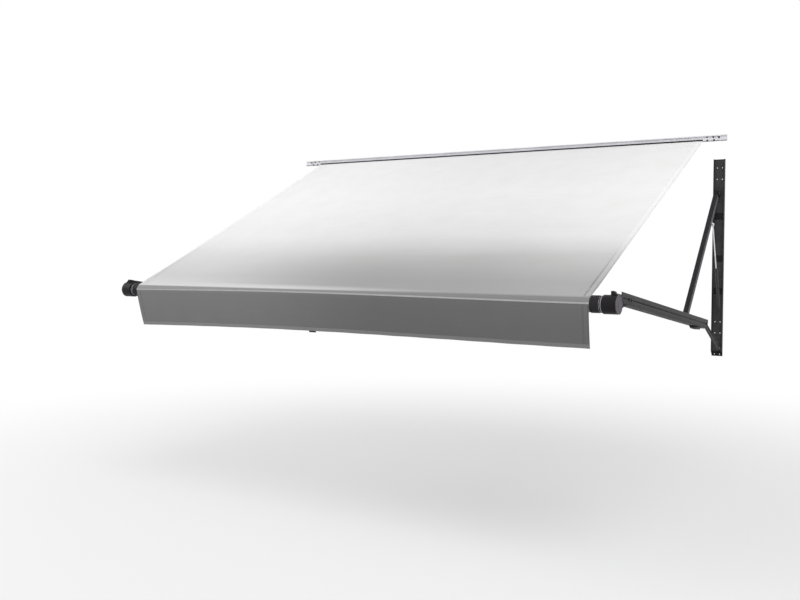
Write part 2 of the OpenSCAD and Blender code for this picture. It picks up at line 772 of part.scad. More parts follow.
// Valance: soft waves that grow from the seam to the lower edge
valance_cols = 84;
valance_rows = 5;
function valance_point(i, j, side) =
    let (
        t = i / valance_cols,
        d = j / valance_rows,
        x = -half_w + valance_lean * d + t * (fabric_w - valance_lean * d),
        wave = sin(360 * valance_waves * t) + 0.4 * sin(360 * valance_waves * 0.37 * t + 50),
        out = turn_out + soft_gap + fabric_t / 2 - valance_swing * pow(d, 1.5)
            + valance_wave_d * pow(d, 1.3) * (wave + 1.4) / 2)
    [x, -roller_out - out - side * fabric_t / 2, -roller_drop + 3 - d * valance_h];
function valance_index(i, j, side) = (side < 0 ? 0 : (valance_cols + 1) * (valance_rows + 1))
    + j * (valance_cols + 1) + i;
function quad(a, b, c, d) = [[a, b, c], [a, c, d]];
// Loop of edge points round the sheet, in order
function valance_rim() = concat(
    [for (i = [0 : valance_cols - 1]) [i, 0]],
    [for (j = [0 : valance_rows - 1]) [valance_cols, j]],
    [for (i = [valance_cols : -1 : 1]) [i, valance_rows]],
    [for (j = [valance_rows : -1 : 1]) [0, j]]);

module valance() color(grey_vinyl) {
    rim = valance_rim();
    points = [for (side = [-1, 1], j = [0 : valance_rows], i = [0 : valance_cols])
        valance_point(i, j, side)];
    sheets = [for (side = [-1, 1], j = [0 : valance_rows - 1], i = [0 : valance_cols - 1])
        let (
            a = valance_index(i, j, side),
            b = valance_index(i + 1, j, side),
            c = valance_index(i + 1, j + 1, side),
            d = valance_index(i, j + 1, side))
        each (side > 0 ? quad(a, b, c, d) : quad(d, c, b, a))];
    edges = [for (k = [0 : len(rim) - 1])
        let (p = rim[k], q = rim[(k + 1) % len(rim)])
        each quad(valance_index(p[0], p[1], -1), valance_index(q[0], q[1], -1),
            valance_index(q[0], q[1], 1), valance_index(p[0], p[1], 1))];
    polyhedron(points = points, faces = concat(sheets, edges));
}

awning_rail();
rail_seal();
canopy_bead();
canopy();
wall_channel(1);  // wall_channel_right
wall_channel(-1);  // wall_channel_left
channel_sides(1);  // channel_sides_right
channel_sides(-1);  // channel_sides_left
wall_foot(1);  // wall_foot_right
wall_foot(-1);  // wall_foot_left
pitch_bracket(1);  // pitch_bracket_right
pitch_bracket(-1);  // pitch_bracket_left
link_bracket(1);  // link_bracket_right
link_bracket(-1);  // link_bracket_left
gas_bracket(1);  // gas_bracket_right
gas_bracket(-1);  // gas_bracket_left
pitch_pin(1);  // pitch_pin_right
pitch_pin(-1);  // pitch_pin_left
link_pin(1);  // link_pin_right
link_pin(-1);  // link_pin_left
gas_pin(1);  // gas_pin_right
gas_pin(-1);  // gas_pin_left
inner_link(1);  // inner_link_right
inner_link(-1);  // inner_link_left
arm(1);  // arm_right
arm(-1);  // arm_left
elbow_pin(1);  // elbow_pin_right
elbow_pin(-1);  // elbow_pin_left
elbow_spacers(1);  // elbow_spacers_right
elbow_spacers(-1);  // elbow_spacers_left
arm_bolts(1);  // arm_bolts_right
arm_bolts(-1);  // arm_bolts_left
head_frame(1);  // head_frame_right
head_frame(-1);  // head_frame_left
head_cover(1);  // head_cover_right
head_cover(-1);  // head_cover_left
head_disc(1);  // head_disc_right
head_disc(-1);  // head_disc_left
drive_motor();
idler_axle();
pitch_arm(1);  // pitch_arm_right
pitch_arm(-1);  // pitch_arm_left
pitch_head(1);  // pitch_head_right
pitch_head(-1);  // pitch_head_left
pitch_toe(1);  // pitch_toe_right
pitch_toe(-1);  // pitch_toe_left
gas_cylinder(1);  // gas_cylinder_right
gas_cylinder(-1);  // gas_cylinder_left
gas_rod(1);  // gas_rod_right
gas_rod(-1);  // gas_rod_left
roller_tube();
roller_cap(1);  // roller_cap_right
roller_cap(-1);  // roller_cap_left
drive_wheel();
motor_crown();
idler_bush();
canopy_turn();
canopy_rope();
seam_tape();
valance();
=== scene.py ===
import json
import math
import bpy
import bmesh
from mathutils import Matrix, Vector, noise


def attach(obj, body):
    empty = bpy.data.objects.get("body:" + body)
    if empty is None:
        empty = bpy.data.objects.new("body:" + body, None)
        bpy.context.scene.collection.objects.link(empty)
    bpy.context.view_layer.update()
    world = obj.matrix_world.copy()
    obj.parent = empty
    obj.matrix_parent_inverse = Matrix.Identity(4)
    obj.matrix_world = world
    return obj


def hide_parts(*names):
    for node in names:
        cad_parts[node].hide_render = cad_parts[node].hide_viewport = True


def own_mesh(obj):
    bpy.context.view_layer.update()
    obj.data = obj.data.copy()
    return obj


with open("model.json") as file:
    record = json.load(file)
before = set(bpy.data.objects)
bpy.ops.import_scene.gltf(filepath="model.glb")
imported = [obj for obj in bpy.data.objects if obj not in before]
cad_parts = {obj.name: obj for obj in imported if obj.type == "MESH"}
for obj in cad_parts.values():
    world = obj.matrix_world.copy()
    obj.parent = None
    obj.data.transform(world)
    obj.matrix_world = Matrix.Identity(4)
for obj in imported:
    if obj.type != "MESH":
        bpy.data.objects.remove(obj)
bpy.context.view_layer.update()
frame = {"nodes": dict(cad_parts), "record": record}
scene = bpy.context.scene
scene.view_settings.view_transform = "Standard"

# camera, from the corners of the canopy and the ends of the roller in an 800 x 600 picture
viewpoint = {
    "place": (3.5016, -6.8499, -0.7497), "yaw": 0.5675, "pitch": -0.0578, "roll": -0.0038,
    "focalPixels": 939.3, "pictureWidth": 800, "sensor": 36.0,
}


def setCamera(v):
    lens = bpy.data.cameras.new("viewpoint")
    lens.sensor_width = v["sensor"]
    lens.lens = v["focalPixels"] * v["sensor"] / v["pictureWidth"]
    lens.clip_end = 200
    camera = bpy.data.objects.new("viewpoint", lens)
    scene.collection.objects.link(camera)
    turn = Matrix.Rotation(v["yaw"], 4, "Z")
    tilt = Matrix.Rotation(math.pi / 2 + v["pitch"], 4, "X")
    camera.matrix_world = Matrix.Translation(v["place"]) @ turn @ tilt @ Matrix.Rotation(v["roll"], 4, "Z")
    scene.camera = camera


setCamera(viewpoint)

# side view of the awning in metres: out from the wall, up from the middle of the rail
awning = {
    "halfCloth": 1.702, "clothT": 0.0012,
    "bead": (0.0086, -0.0142), "roller": (2.150, -1.060),
    "sheetR": 0.0442, "sleeveR": 0.0047,
    "armX": 1.821, "armUnder": -0.0312, "elbow": (0.42238, -1.28341), "armSlope": 8.75,
    "stowed": (0.099, -0.1095),  # where the end of the canopy goes, from the bead, with the arms folded
    "crowding": 1.25,  # how much closer the cloth's columns stand near the side edges
}

clothWide = 2 * awning["halfCloth"]
layerGap = 0.0001  # between cloth that lies on cloth
bothSides = (("right", 1), ("left", -1))


def sidePoint(x, out, up):
    return Vector((x, -out, up))


def smooth(t):
    t = min(1.0, max(0.0, t))
    return t * t * (3 - 2 * t)


reachOut = awning["roller"][0] - awning["bead"][0]
reachUp = awning["roller"][1] - awning["bead"][1]
reach = math.hypot(reachOut, reachUp)
canopyRun = math.sqrt(reach ** 2 - awning["sheetR"] ** 2)
canopyAngle = math.atan2(reachUp, reachOut) + math.asin(awning["sheetR"] / reach)
landing = canopyAngle + math.pi / 2  # where the canopy lands on the roller
runDir = (math.cos(canopyAngle), math.sin(canopyAngle))
topDir = (-math.sin(canopyAngle), math.cos(canopyAngle))


noiseSpan = (0.3, 0.7)  # where most of a noise texture's values lie
pureWhite, pureBlack = (1, 1, 1, 1), (0, 0, 0, 1)


# finishes: small helpers that keep the node code short
def feed(tree, socket, value):
    if isinstance(value, bpy.types.NodeSocket):
        tree.links.new(value, socket)
    else:
        socket.default_value = value


def addNode(tree, kind, sockets=None, **settings):
    made = tree.nodes.new(kind)
    for key, value in settings.items():
        setattr(made, key, value)
    for key, value in (sockets or {}).items():
        feed(tree, made.inputs[key], value)
    return made


def grey(level, tint=(1.0, 1.0, 1.0)):
    # screen level 0 to 255 to the linear colour that a shader takes
    shade = []
    for t in tint:
        c = min(1.0, level * t / 255)
        shade.append(c / 12.92 if c <= 0.04045 else ((c + 0.055) / 1.055) ** 2.4)
    return (*shade, 1.0)


def startFinish(name, **sockets):
    finish = bpy.data.materials.new(name)
    finish.use_nodes = True
    tree = finish.node_tree
    shader = tree.nodes["Principled BSDF"]
    for key, value in sockets.items():
        shader.inputs[key.replace("_", " ")].default_value = value
    return finish, tree, shader


def noiseOf(tree, coords, scale, stretch=(1, 1, 1), detail=3.0, rough=0.5):
    if stretch != (1, 1, 1):
        coords = addNode(tree, "ShaderNodeMapping", {"Vector": coords, "Scale": stretch}).outputs[0]
    sockets = {"Vector": coords, "Scale": scale, "Detail": detail, "Roughness": rough}
    return addNode(tree, "ShaderNodeTexNoise", sockets).outputs["Fac"]


def rampOf(tree, factor, stops):
    stops = list(stops)
    ramp = addNode(tree, "ShaderNodeValToRGB", {"Fac": factor})
    bar = ramp.color_ramp.elements
    while len(bar) < len(stops):
        bar.new(0.5)
    for stop, (place, colour) in zip(bar, stops):
        stop.position = place
        stop.color = colour
    return ramp.outputs["Color"]


def spread(tree, factor, low, high):
    start, end = noiseSpan
    sockets = {"Value": factor, "From Min": start, "From Max": end, "To Min": low, "To Max": high}
    return addNode(tree, "ShaderNodeMapRange", sockets).outputs["Result"]


def rangeOf(tree, value, start, end, low, high):
    sockets = {"Value": value, "From Min": start, "From Max": end, "To Min": low, "To Max": high}
    return addNode(tree, "ShaderNodeMapRange", sockets, interpolation_type="SMOOTHSTEP").outputs["Result"]


def blendOf(tree, factor, first, second, mode="MIX"):
    mix = addNode(tree, "ShaderNodeMix", data_type="RGBA", blend_type=mode)
    colourIn = [s for s in mix.inputs if s.type == "RGBA"]
    for socket, value in ((mix.inputs[0], factor), (colourIn[0], first), (colourIn[1], second)):
        feed(tree, socket, value)
    return [s for s in mix.outputs if s.type == "RGBA"][0]


def mathOf(tree, operation, first, second=0.0):
    made = addNode(tree, "ShaderNodeMath", operation=operation)
    for socket, value in zip(made.inputs, (first, second)):
        feed(tree, socket, value)
    return made.outputs[0]


def bumpOf(tree, height, strength, depth, under=None):
    sockets = {"Height": height, "Strength": strength, "Distance": depth}
    if under is not None:
        sockets["Normal"] = under
    return addNode(tree, "ShaderNodeBump", sockets).outputs["Normal"]


def placeOf(tree):
    return addNode(tree, "ShaderNodeTexCoord").outputs["Object"]


def clothPlace(tree):
    return addNode(tree, "ShaderNodeUVMap", uv_map="cut").outputs["UV"]  # metres across and along the cut


# rigid finishes, one row for each slot of the record
rigidFinishes = {
    "rail": {"level": 226, "tint": (0.985, 0.98, 1.0), "vary": 0.04,
             "rough": (0.36, 0.5), "grain": 700, "shine": 0.3},
    "channel": {"level": 69, "tint": (0.985, 0.975, 1.0), "vary": 0.08,
                "rough": (0.42, 0.58), "grain": 800, "shine": 0.08},
    # the pitch arm's sideways faces take a paler level, a painted highlight
    "pitch": {"level": 52, "tint": (0.96, 0.95, 1.0), "vary": 0.08,
              "rough": (0.38, 0.52), "grain": 700, "shine": 0.08, "sides": 96},
    "casting": {"level": 32, "tint": (0.97, 0.94, 1.0), "vary": 0.12,
                "rough": (0.42, 0.6), "grain": 420, "shine": 0.1},
    "moulding": {"level": 29, "tint": (0.97, 0.93, 1.0), "vary": 0.1,
                 "rough": (0.36, 0.52), "grain": 1400, "shine": 0.12},
    "disc": {"level": 104, "tint": (0.975, 0.945, 1.0), "vary": 0.06,
             "rough": (0.38, 0.52), "grain": 900, "shine": 0.1},
    "bolt": {"level": 46, "tint": (1.0, 1.0, 1.02), "vary": 0.1,
             "rough": (0.34, 0.48), "grain": 900, "shine": 0.3},
    "strut": {"level": 40, "tint": (0.97, 0.97, 1.0), "vary": 0.06,
              "rough": (0.26, 0.38), "grain": 500, "shine": 0.4},
    "motor": {"level": 120, "tint": (1.0, 1.0, 1.0), "vary": 0.06,
              "rough": (0.4, 0.55), "grain": 600, "shine": 0.4},
    "wheel": {"level": 62, "tint": (1.0, 1.0, 1.0), "vary": 0.08,
              "rough": (0.45, 0.6), "grain": 1200, "shine": 0.3},
    "seal": {"level": 30, "tint": (1.0, 1.0, 1.03), "vary": 0.12,
             "rough": (0.6, 0.78), "grain": 1500, "shine": 0.2},
}
# what all coats share: noise scales, the darkest speck, bumps as strength and depth, and where the painted side
# highlight starts and is full
coatWear = {"cloud": 5.0, "dust": 60.0, "speck": (0.86, 0.86, 0.86, 1), "speckSpan": (0.25, 0.6),
            "peel": (0.18, 0.0004), "dents": (0.1, 0.002), "sideHighlight": (0.6, 0.9)}


def coatFinish(name, c):
    finish, tree, shader = startFinish(name, Specular_IOR_Level=c["shine"])
    place = placeOf(tree)
    cloud = noiseOf(tree, place, coatWear["cloud"], detail=4)
    dust = noiseOf(tree, place, coatWear["dust"], detail=5, rough=0.65)
    grain = noiseOf(tree, place, float(c["grain"]), detail=2)
    shades = [grey(c["level"] * share, c["tint"]) for share in (1 - c["vary"], 1 + c["vary"])]
    broad = rampOf(tree, cloud, zip(noiseSpan, shades))
    if "sides" in c:  # painted highlight: faces that look sideways are painted paler, as if lit from the side
        normal = addNode(tree, "ShaderNodeTexCoord").outputs["Normal"]
        facing = addNode(tree, "ShaderNodeSeparateXYZ", {0: normal})
        aside = mathOf(tree, "ABSOLUTE", facing.outputs["X"])
        sideHighlight = rangeOf(tree, aside, *coatWear["sideHighlight"], 0.0, 1.0)
        broad = blendOf(tree, sideHighlight, broad, grey(c["sides"], c["tint"]))
    if "shadedLowEdge" in c:  # painted shade: darker towards the arm's lower edge
        slope = math.radians(awning["armSlope"])
        across = (0.0, math.sin(slope), math.cos(slope))
        sockets = {0: place, 1: across}
        height = addNode(tree, "ShaderNodeVectorMath", sockets, operation="DOT_PRODUCT").outputs["Value"]
        middle = awning["elbow"][1] * math.cos(slope) - awning["elbow"][0] * math.sin(slope)
        start, end, most = c["shadedLowEdge"]
        lowEdgeShade = rangeOf(tree, mathOf(tree, "SUBTRACT", height, middle), start, end, most, 0.0)
        broad = blendOf(tree, lowEdgeShade, broad, pureBlack)
    specks = rampOf(tree, dust, zip(coatWear["speckSpan"], (coatWear["speck"], pureWhite)))
    tree.links.new(blendOf(tree, 1.0, broad, specks, "MULTIPLY"), shader.inputs["Base Color"])
    tree.links.new(spread(tree, dust, *c["rough"]), shader.inputs["Roughness"])
    peel = bumpOf(tree, grain, *coatWear["peel"])
    tree.links.new(bumpOf(tree, cloud, *coatWear["dents"], peel), shader.inputs["Normal"])
    return finish


# bare metals, with the lay of the tool that made them
metalFinishes = {
    "pin": {"level": 190, "rough": (0.3, 0.46), "stretch": (90, 900, 900)},
    "strut_rod": {"level": 222, "rough": (0.08, 0.17), "stretch": (700, 700, 60)},
    "tube": {"level": 200, "rough": (0.28, 0.42), "stretch": (6, 700, 700)},
}
metalWear = {"cloud": 25.0, "shades": (0.93, 1.04), "lines": (0.12, 0.0002)}


def metalFinish(name, c):
    finish, tree, shader = startFinish(name, Metallic=1.0)
    place = placeOf(tree)
    lines = noiseOf(tree, place, 1.0, stretch=c["stretch"], detail=3)
    cloud = noiseOf(tree, place, metalWear["cloud"], detail=4)
    shades = [grey(c["level"] * share) for share in metalWear["shades"]]
    tone = rampOf(tree, cloud, zip(noiseSpan, shades))
    tree.links.new(tone, shader.inputs["Base Color"])
    tree.links.new(spread(tree, lines, *c["rough"]), shader.inputs["Roughness"])
    tree.links.new(bumpOf(tree, lines, *metalWear["lines"]), shader.inputs["Normal"])
    return finish


# white plastic hem rope, twisted
ropeLook = {"level": 225, "twist": 55.0, "wobble": 0.4, "dark": 0.86, "rough": 0.5, "lay": (0.4, 0.0008)}


def ropeFinish(name, c):
    finish, tree, shader = startFinish(name, Roughness=c["rough"])
    sockets = {"Vector": placeOf(tree), "Scale": c["twist"], "Distortion": c["wobble"]}
    lay = addNode(tree, "ShaderNodeTexWave", sockets, wave_type="BANDS",
                  bands_direction="DIAGONAL").outputs["Fac"]
    tone = rampOf(tree, lay, [(0.0, grey(c["level"] * c["dark"])), (0.6, grey(c["level"]))])
    tree.links.new(tone, shader.inputs["Base Color"])
    tree.links.new(bumpOf(tree, lay, *c["lay"]), shader.inputs["Normal"])
    return finish


# coated cloth: fine weave under a satin film, with a fade along the cut; painted light makes it paler towards
# the side edges, and painted shade darkens it where it turns over the roller's front
canopyLook = {
    # painted shade: the fade drops at 0.91, where the cloth turns down over the roller's front; just before
    # that, the side ramp rises in a painted highlight along the bend
    "fade": [(0.0, 233), (0.32, 237), (0.467, 232), (0.6, 222), (0.66, 206), (0.722, 184), (0.798, 168),
             (0.849, 160), (0.9085, 160), (0.912, 130), (1.0, 124)],
    "sideLitFade": [(0.0, 243), (0.32, 247), (0.467, 243), (0.6, 238), (0.66, 230), (0.722, 218), (0.798, 210),
                 (0.849, 204), (0.9, 211), (0.910, 217), (0.9135, 141), (1.0, 130)],
    "left": (0.3, -1.5, 1.0), "leftLow": 0.75, "right": (0.75, 1.75, 0.6), "rightLow": 0.3, "fadeLength": 2.62,
    "streak": 0.02, "weave": 150.0, "rough": (0.46, 0.58), "shine": 0.15,
}
canopyHemLook = dict(canopyLook, fade=[(q, min(250, f * 1.03)) for q, f in canopyLook["fade"]],
                     sideLitFade=[(q, min(250, f * 1.02)) for q, f in canopyLook["sideLitFade"]],
                     foldShadeLines=[(0.038, 0.012, 0.62), (0.003, 0.008, 0.75)], linesFrom=(0.64, 0.86),
                     linesLeft=0.4)
valanceLook = {
    # painted light: the valance's side ramp is paler, and is laid in towards its left end
    "fade": [(0.0, 106), (0.5, 103), (1.0, 102)], "sideLitFade": [(0.0, 121), (0.5, 119), (1.0, 117)],
    "left": (0.5, -0.8, 1.0), "leftLow": 0.0, "right": (0.75, 1.75, 0.1), "rightLow": 1.0, "fadeLength": 0.26,
    "streak": 0.03, "weave": 150.0, "rough": (0.5, 0.64), "shine": 0.15,
}
hemLook = dict(valanceLook, fade=[(0.0, 120), (1.0, 122)], sideLitFade=[(0.0, 130), (1.0, 132)])
valanceSideLook = dict(valanceLook, foldShadeLines=[(0.034, 0.008, 0.78), (0.003, 0.007, 0.78)],
                       linesFrom=(-2.0, -1.0), linesLeft=0.7)
# where along the fade it wavers, and where the painted side light spreads in from the left and lets go of the
# right side
fadeSpans = {"waver": (0.74, 0.88, 0.05), "leftLightSpread": (0.885, 0.905), "rightLightDrop": (0.6, 0.9)}
# what all cloth shares: how far noise is stretched over the cut, and bumps as strength and depth
clothWear = {"waver": (0.5, 3.0, 1), "streaks": (0.7, 55.0, 1), "streakSpan": (0.3, 0.62),
             "dust": 6.0, "soil": (0.965, 0.965, 0.96, 1), "soilSpan": (0.3, 0.6),
             "weave": (0.16, 0.0003), "slack": (5.0, 2.0, 1), "slackDepth": (0.12, 0.012)}


def weaveOf(tree, place, scale):
    threads = []
    for direction in ("X", "Y"):
        sockets = {"Vector": place, "Scale": scale, "Distortion": 0.6, "Detail": 1.0}
        threads.append(addNode(tree, "ShaderNodeTexWave", sockets, wave_type="BANDS",
                               bands_direction=direction).outputs["Fac"])
    return mathOf(tree, "MULTIPLY", *threads)


def clothFinish(name, c):
    finish, tree, shader = startFinish(name, Specular_IOR_Level=c["shine"])
    place = clothPlace(tree)
    cut = addNode(tree, "ShaderNodeSeparateXYZ", {"Vector": place}).outputs
    share = mathOf(tree, "DIVIDE", cut["Y"], c["fadeLength"])
    waver = noiseOf(tree, place, 1.0, stretch=clothWear["waver"], detail=3)
    calmFrom, calmTo, most = fadeSpans["waver"]
    calm = rangeOf(tree, share, calmFrom, calmTo, most, 0.0)
    waver = mathOf(tree, "MULTIPLY", mathOf(tree, "SUBTRACT", waver, 0.5), calm)
    share = mathOf(tree, "ADD", share, waver)
    fades = [rampOf(tree, share, [(q, grey(level)) for q, level in c[key]]) for key in ("fade", "sideLitFade")]
    # painted light: towards the left and right edges the paler side ramp is blended in
    (leftFrom, leftTo, leftMost), (rightFrom, rightTo, rightMost) = c["left"], c["right"]
    wider = rangeOf(tree, share, *fadeSpans["leftLightSpread"], 0.0, c["leftLow"])
    left = rangeOf(tree, mathOf(tree, "SUBTRACT", cut["X"], wider), leftFrom, leftTo, 0.0, leftMost)
    right = rangeOf(tree, cut["X"], rightFrom, rightTo, 0.0, rightMost)
    right = mathOf(tree, "MULTIPLY", right, rangeOf(tree, share, *fadeSpans["rightLightDrop"], 1.0, c["rightLow"]))
    fade = blendOf(tree, mathOf(tree, "MAXIMUM", left, right), *fades)
    streaks = noiseOf(tree, place, 1.0, stretch=clothWear["streaks"], detail=4, rough=0.6)
    dust = noiseOf(tree, place, clothWear["dust"], detail=5, rough=0.6)
    low = 1 - c["streak"]
    lines = rampOf(tree, streaks, zip(clothWear["streakSpan"], ((low, low, low, 1), pureWhite)))
    soil = rampOf(tree, dust, zip(clothWear["soilSpan"], (clothWear["soil"], pureWhite)))
    tone = blendOf(tree, 1.0, blendOf(tree, 1.0, fade, lines, "MULTIPLY"), soil, "MULTIPLY")
    # painted shade: dark lines beside the folds of a side hem, as the shadow of the hem's steps: how far in, how
    # wide, how much light is left
    if "foldShadeLines" in c:
        strength = rangeOf(tree, share, *c["linesFrom"], 0.0, 1.0)
        strength = mathOf(tree, "MULTIPLY", strength, rangeOf(tree, cut["X"], -1.0, 1.0, c["linesLeft"], 1.0))
        inset = mathOf(tree, "SUBTRACT", awning["halfCloth"], mathOf(tree, "ABSOLUTE", cut["X"]))
        for lineInset, wide, lightLeft in c["foldShadeLines"]:
            off = mathOf(tree, "ABSOLUTE", mathOf(tree, "SUBTRACT", inset, lineInset))
            line = mathOf(tree, "MULTIPLY", rangeOf(tree, off, 0.0, wide, 1 - lightLeft, 0.0), strength)
            tone = blendOf(tree, line, tone, pureBlack)
    tree.links.new(tone, shader.inputs["Base Color"])
    tree.links.new(spread(tree, dust, *c["rough"]), shader.inputs["Roughness"])
    weave = bumpOf(tree, weaveOf(tree, place, c["weave"]), *clothWear["weave"])
    slack = noiseOf(tree, place, 1.0, stretch=clothWear["slack"], detail=2)
    tree.links.new(bumpOf(tree, slack, *clothWear["slackDepth"], weave), shader.inputs["Normal"])
    return finish


# woven binding tape and the thread
tapeLook = {"level": 190, "ribs": 260.0, "dark": 0.82, "rough": 0.75, "dust": 14.0, "soil": (0.9, 0.9, 0.89, 1),
            "soilSpan": (0.3, 0.65), "weave": (0.4, 0.0004)}
threadLook = {"level": 150, "twist": 900.0, "dark": 0.85, "rough": 0.6, "lay": (0.3, 0.0003)}


def tapeFinish(name, c):
    finish, tree, shader = startFinish(name, Roughness=c["rough"])
    place = clothPlace(tree)
    ribs = weaveOf(tree, place, c["ribs"])
    dust = noiseOf(tree, place, c["dust"], detail=4)
    tone = rampOf(tree, ribs, [(0.0, grey(c["level"] * c["dark"])), (0.5, grey(c["level"]))])
    soil = rampOf(tree, dust, zip(c["soilSpan"], (c["soil"], pureWhite)))
    tree.links.new(blendOf(tree, 1.0, tone, soil, "MULTIPLY"), shader.inputs["Base Color"])
    tree.links.new(bumpOf(tree, ribs, *c["weave"]), shader.inputs["Normal"])
    return finish


def threadFinish(name, c):
    finish, tree, shader = startFinish(name, Roughness=c["rough"])
    twist = noiseOf(tree, placeOf(tree), c["twist"], detail=2)
    shades = (grey(c["level"] * c["dark"]), grey(c["level"]))
    tone = rampOf(tree, twist, zip(noiseSpan, shades))
    tree.links.new(tone, shader.inputs["Base Color"])
    tree.links.new(bumpOf(tree, twist, *c["lay"]), shader.inputs["Normal"])
    return finish


finishes = {slot: coatFinish(slot + "Coat", c) for slot, c in rigidFinishes.items()}
finishes.update({slot: metalFinish(slot + "Metal", c) for slot, c in metalFinishes.items()})
finishes["rope"] = ropeFinish("hemRopePlastic", ropeLook)
finishes["canopy_vinyl"] = clothFinish("canopyCloth", canopyLook)
finishes["valance_vinyl"] = clothFinish("valanceCloth", valanceLook)
finishes["tape"] = tapeFinish("seamTapeWeave", tapeLook)
hemCloth = clothFinish("valanceHemCloth", hemLook)
sideHemCloth = clothFinish("canopyHemCloth", canopyHemLook)
valanceSideCloth = clothFinish("valanceSideHemCloth", valanceSideLook)
sewingThread = threadFinish("sewingThread", threadLook)

slotOfNode = {row["node"]: row["material_slot"] for row in frame["record"]["subparts"]}
# pieces with a look of their own within their slot
ownLooks = {
    "roller_cap_": ("moulding", {"level": 44}),
    # the arms take painted shade along their lower edge
    "arm_": ("channel", {"shadedLowEdge": (-0.036, 0.004, 0.36)}),
}
ownCoats = {}
for stem, (slot, changes) in ownLooks.items():
    coat = coatFinish(stem + "ownCoat", dict(rigidFinishes[slot], **changes))
    ownCoats.update({stem + side: coat for side in ("right", "left")})
for nodeName, cadPiece in frame["nodes"].items():
    cadPiece.data.materials.clear()
    cadPiece.data.materials.append(ownCoats.get(nodeName, finishes[slotOfNode[nodeName]]))
print("finishes made:", len(finishes), "slots")


# cloth is a grid of points with a thickness, closed at its rim
def clothFrom(name, grid, cut, finish, thickness):
    rows, columns = len(grid), len(grid[0])
    count = rows * columns
    front, back = [], []
    for j, row in enumerate(grid):
        before, after = grid[max(j - 1, 0)], grid[min(j + 1, rows - 1)]
        for i, point in enumerate(row):
            across = row[min(i + 1, columns - 1)] - row[max(i - 1, 0)]
            push = across.cross(after[i] - before[i]).normalized() * (thickness / 2)
            front.append(point + push)
            back.append(point - push)
    faces = []
    for j in range(rows - 1):
        for i in range(columns - 1):
            a = j * columns + i
            quad = (a, a + 1, a + columns + 1, a + columns)
            faces.append(quad)
            faces.append(tuple(k + count for k in reversed(quad)))
    rim = [i for i in range(columns)] + [j * columns + columns - 1 for j in range(1, rows)]
    rim += [(rows - 1) * columns + i for i in range(columns - 2, -1, -1)]
    rim += [j * columns for j in range(rows - 2, 0, -1)]
    for a, b in zip(rim, rim[1:] + rim[:1]):
        faces.append((b, a, a + count, b + count))
    return meshPiece(name, front + back, faces, finish, [uv for row in cut for uv in row] * 2)


def meshPiece(name, points, faces, finish, cut=None, sharp=40.0):
    mesh = bpy.data.meshes.new(name)
    mesh.from_pydata([tuple(p) for p in points], [], faces)
    if cut:
        layer = mesh.uv_layers.new(name="cut")
        flat = []
        for loop in mesh.loops:
            flat.extend(cut[loop.vertex_index])
        layer.data.foreach_set("uv", flat)
    return finishMesh(mesh, name, finish, sharp)


def finishMesh(mesh, name, finish, sharp=40.0):
    mesh.shade_smooth()
    mesh.set_sharp_from_angle(angle=math.radians(sharp))
    mesh.materials.append(finish)
    mesh.validate()
    piece = bpy.data.objects.new(name, mesh)
    scene.collection.objects.link(piece)
    return piece


# one row of sewing: place(s) gives a point and the way up at the length s along the row
stitch = {"pitch": 0.007, "length": 0.005, "wide": 0.0013, "high": 0.0007, "sunk": 0.3, "sharp": 80}


def sewRow(points, faces, place, start, end):
    for k in range(int((end - start) / stitch["pitch"])):
        s = start + k * stitch["pitch"]
        first, up = place(s)
        last, _ = place(s + stitch["length"])
        middle = (first + last) / 2
        side = (last - first).normalized().cross(up) * (stitch["wide"] / 2)
        lift = up * stitch["high"]
        n = len(points)
        points += [first, last, middle + side, middle - side, middle + lift, middle - lift * stitch["sunk"]]
        for a, b in ((0, 2), (2, 1), (1, 3), (3, 0)):
            faces += [(n + a, n + b, n + 4), (n + b, n + a, n + 5)]


# the canopy: a sleeve round the rope in the rail, then one taut sheet down to the roller
canopy = {
    "columns": 132, "rows": 66, "sleeveSteps": 18, "neck": 0.014,
    "sag": 0.009, "pullIn": 0.005, "pucker": 0.0016, "crease": 0.0022, "curl": 0.003,
    "hemWide": 0.042, "hemT": 0.0006, "hemFrom": 0.05, "hemSteps": 90,
    "sewEdge": 0.005, "sewFold": 0.004, "sewFrom": 0.06, "sewShort": 0.02,
    "sleeveFrom": -22, "sleeveSweep": 316.0, "sleeveOut": [(0.0064, 0.0011), (0.0088, 0.0003), (0.0112, 0.0)],
    "sleeveCut": 0.012, "sleeveShare": 0.3, "ropeCloth": 0.037,
    "railEase": 0.12, "rollerEase": 0.10, "sideSag": 0.35, "curlFrom": 0.955,
    "puckerX": 1.7, "puckerRun": 0.9, "puckerSeed": 3.1, "puckerRate": 1.6,
    "creaseReach": 0.5, "creaseCount": 11, "creaseSoft": 0.02,
}


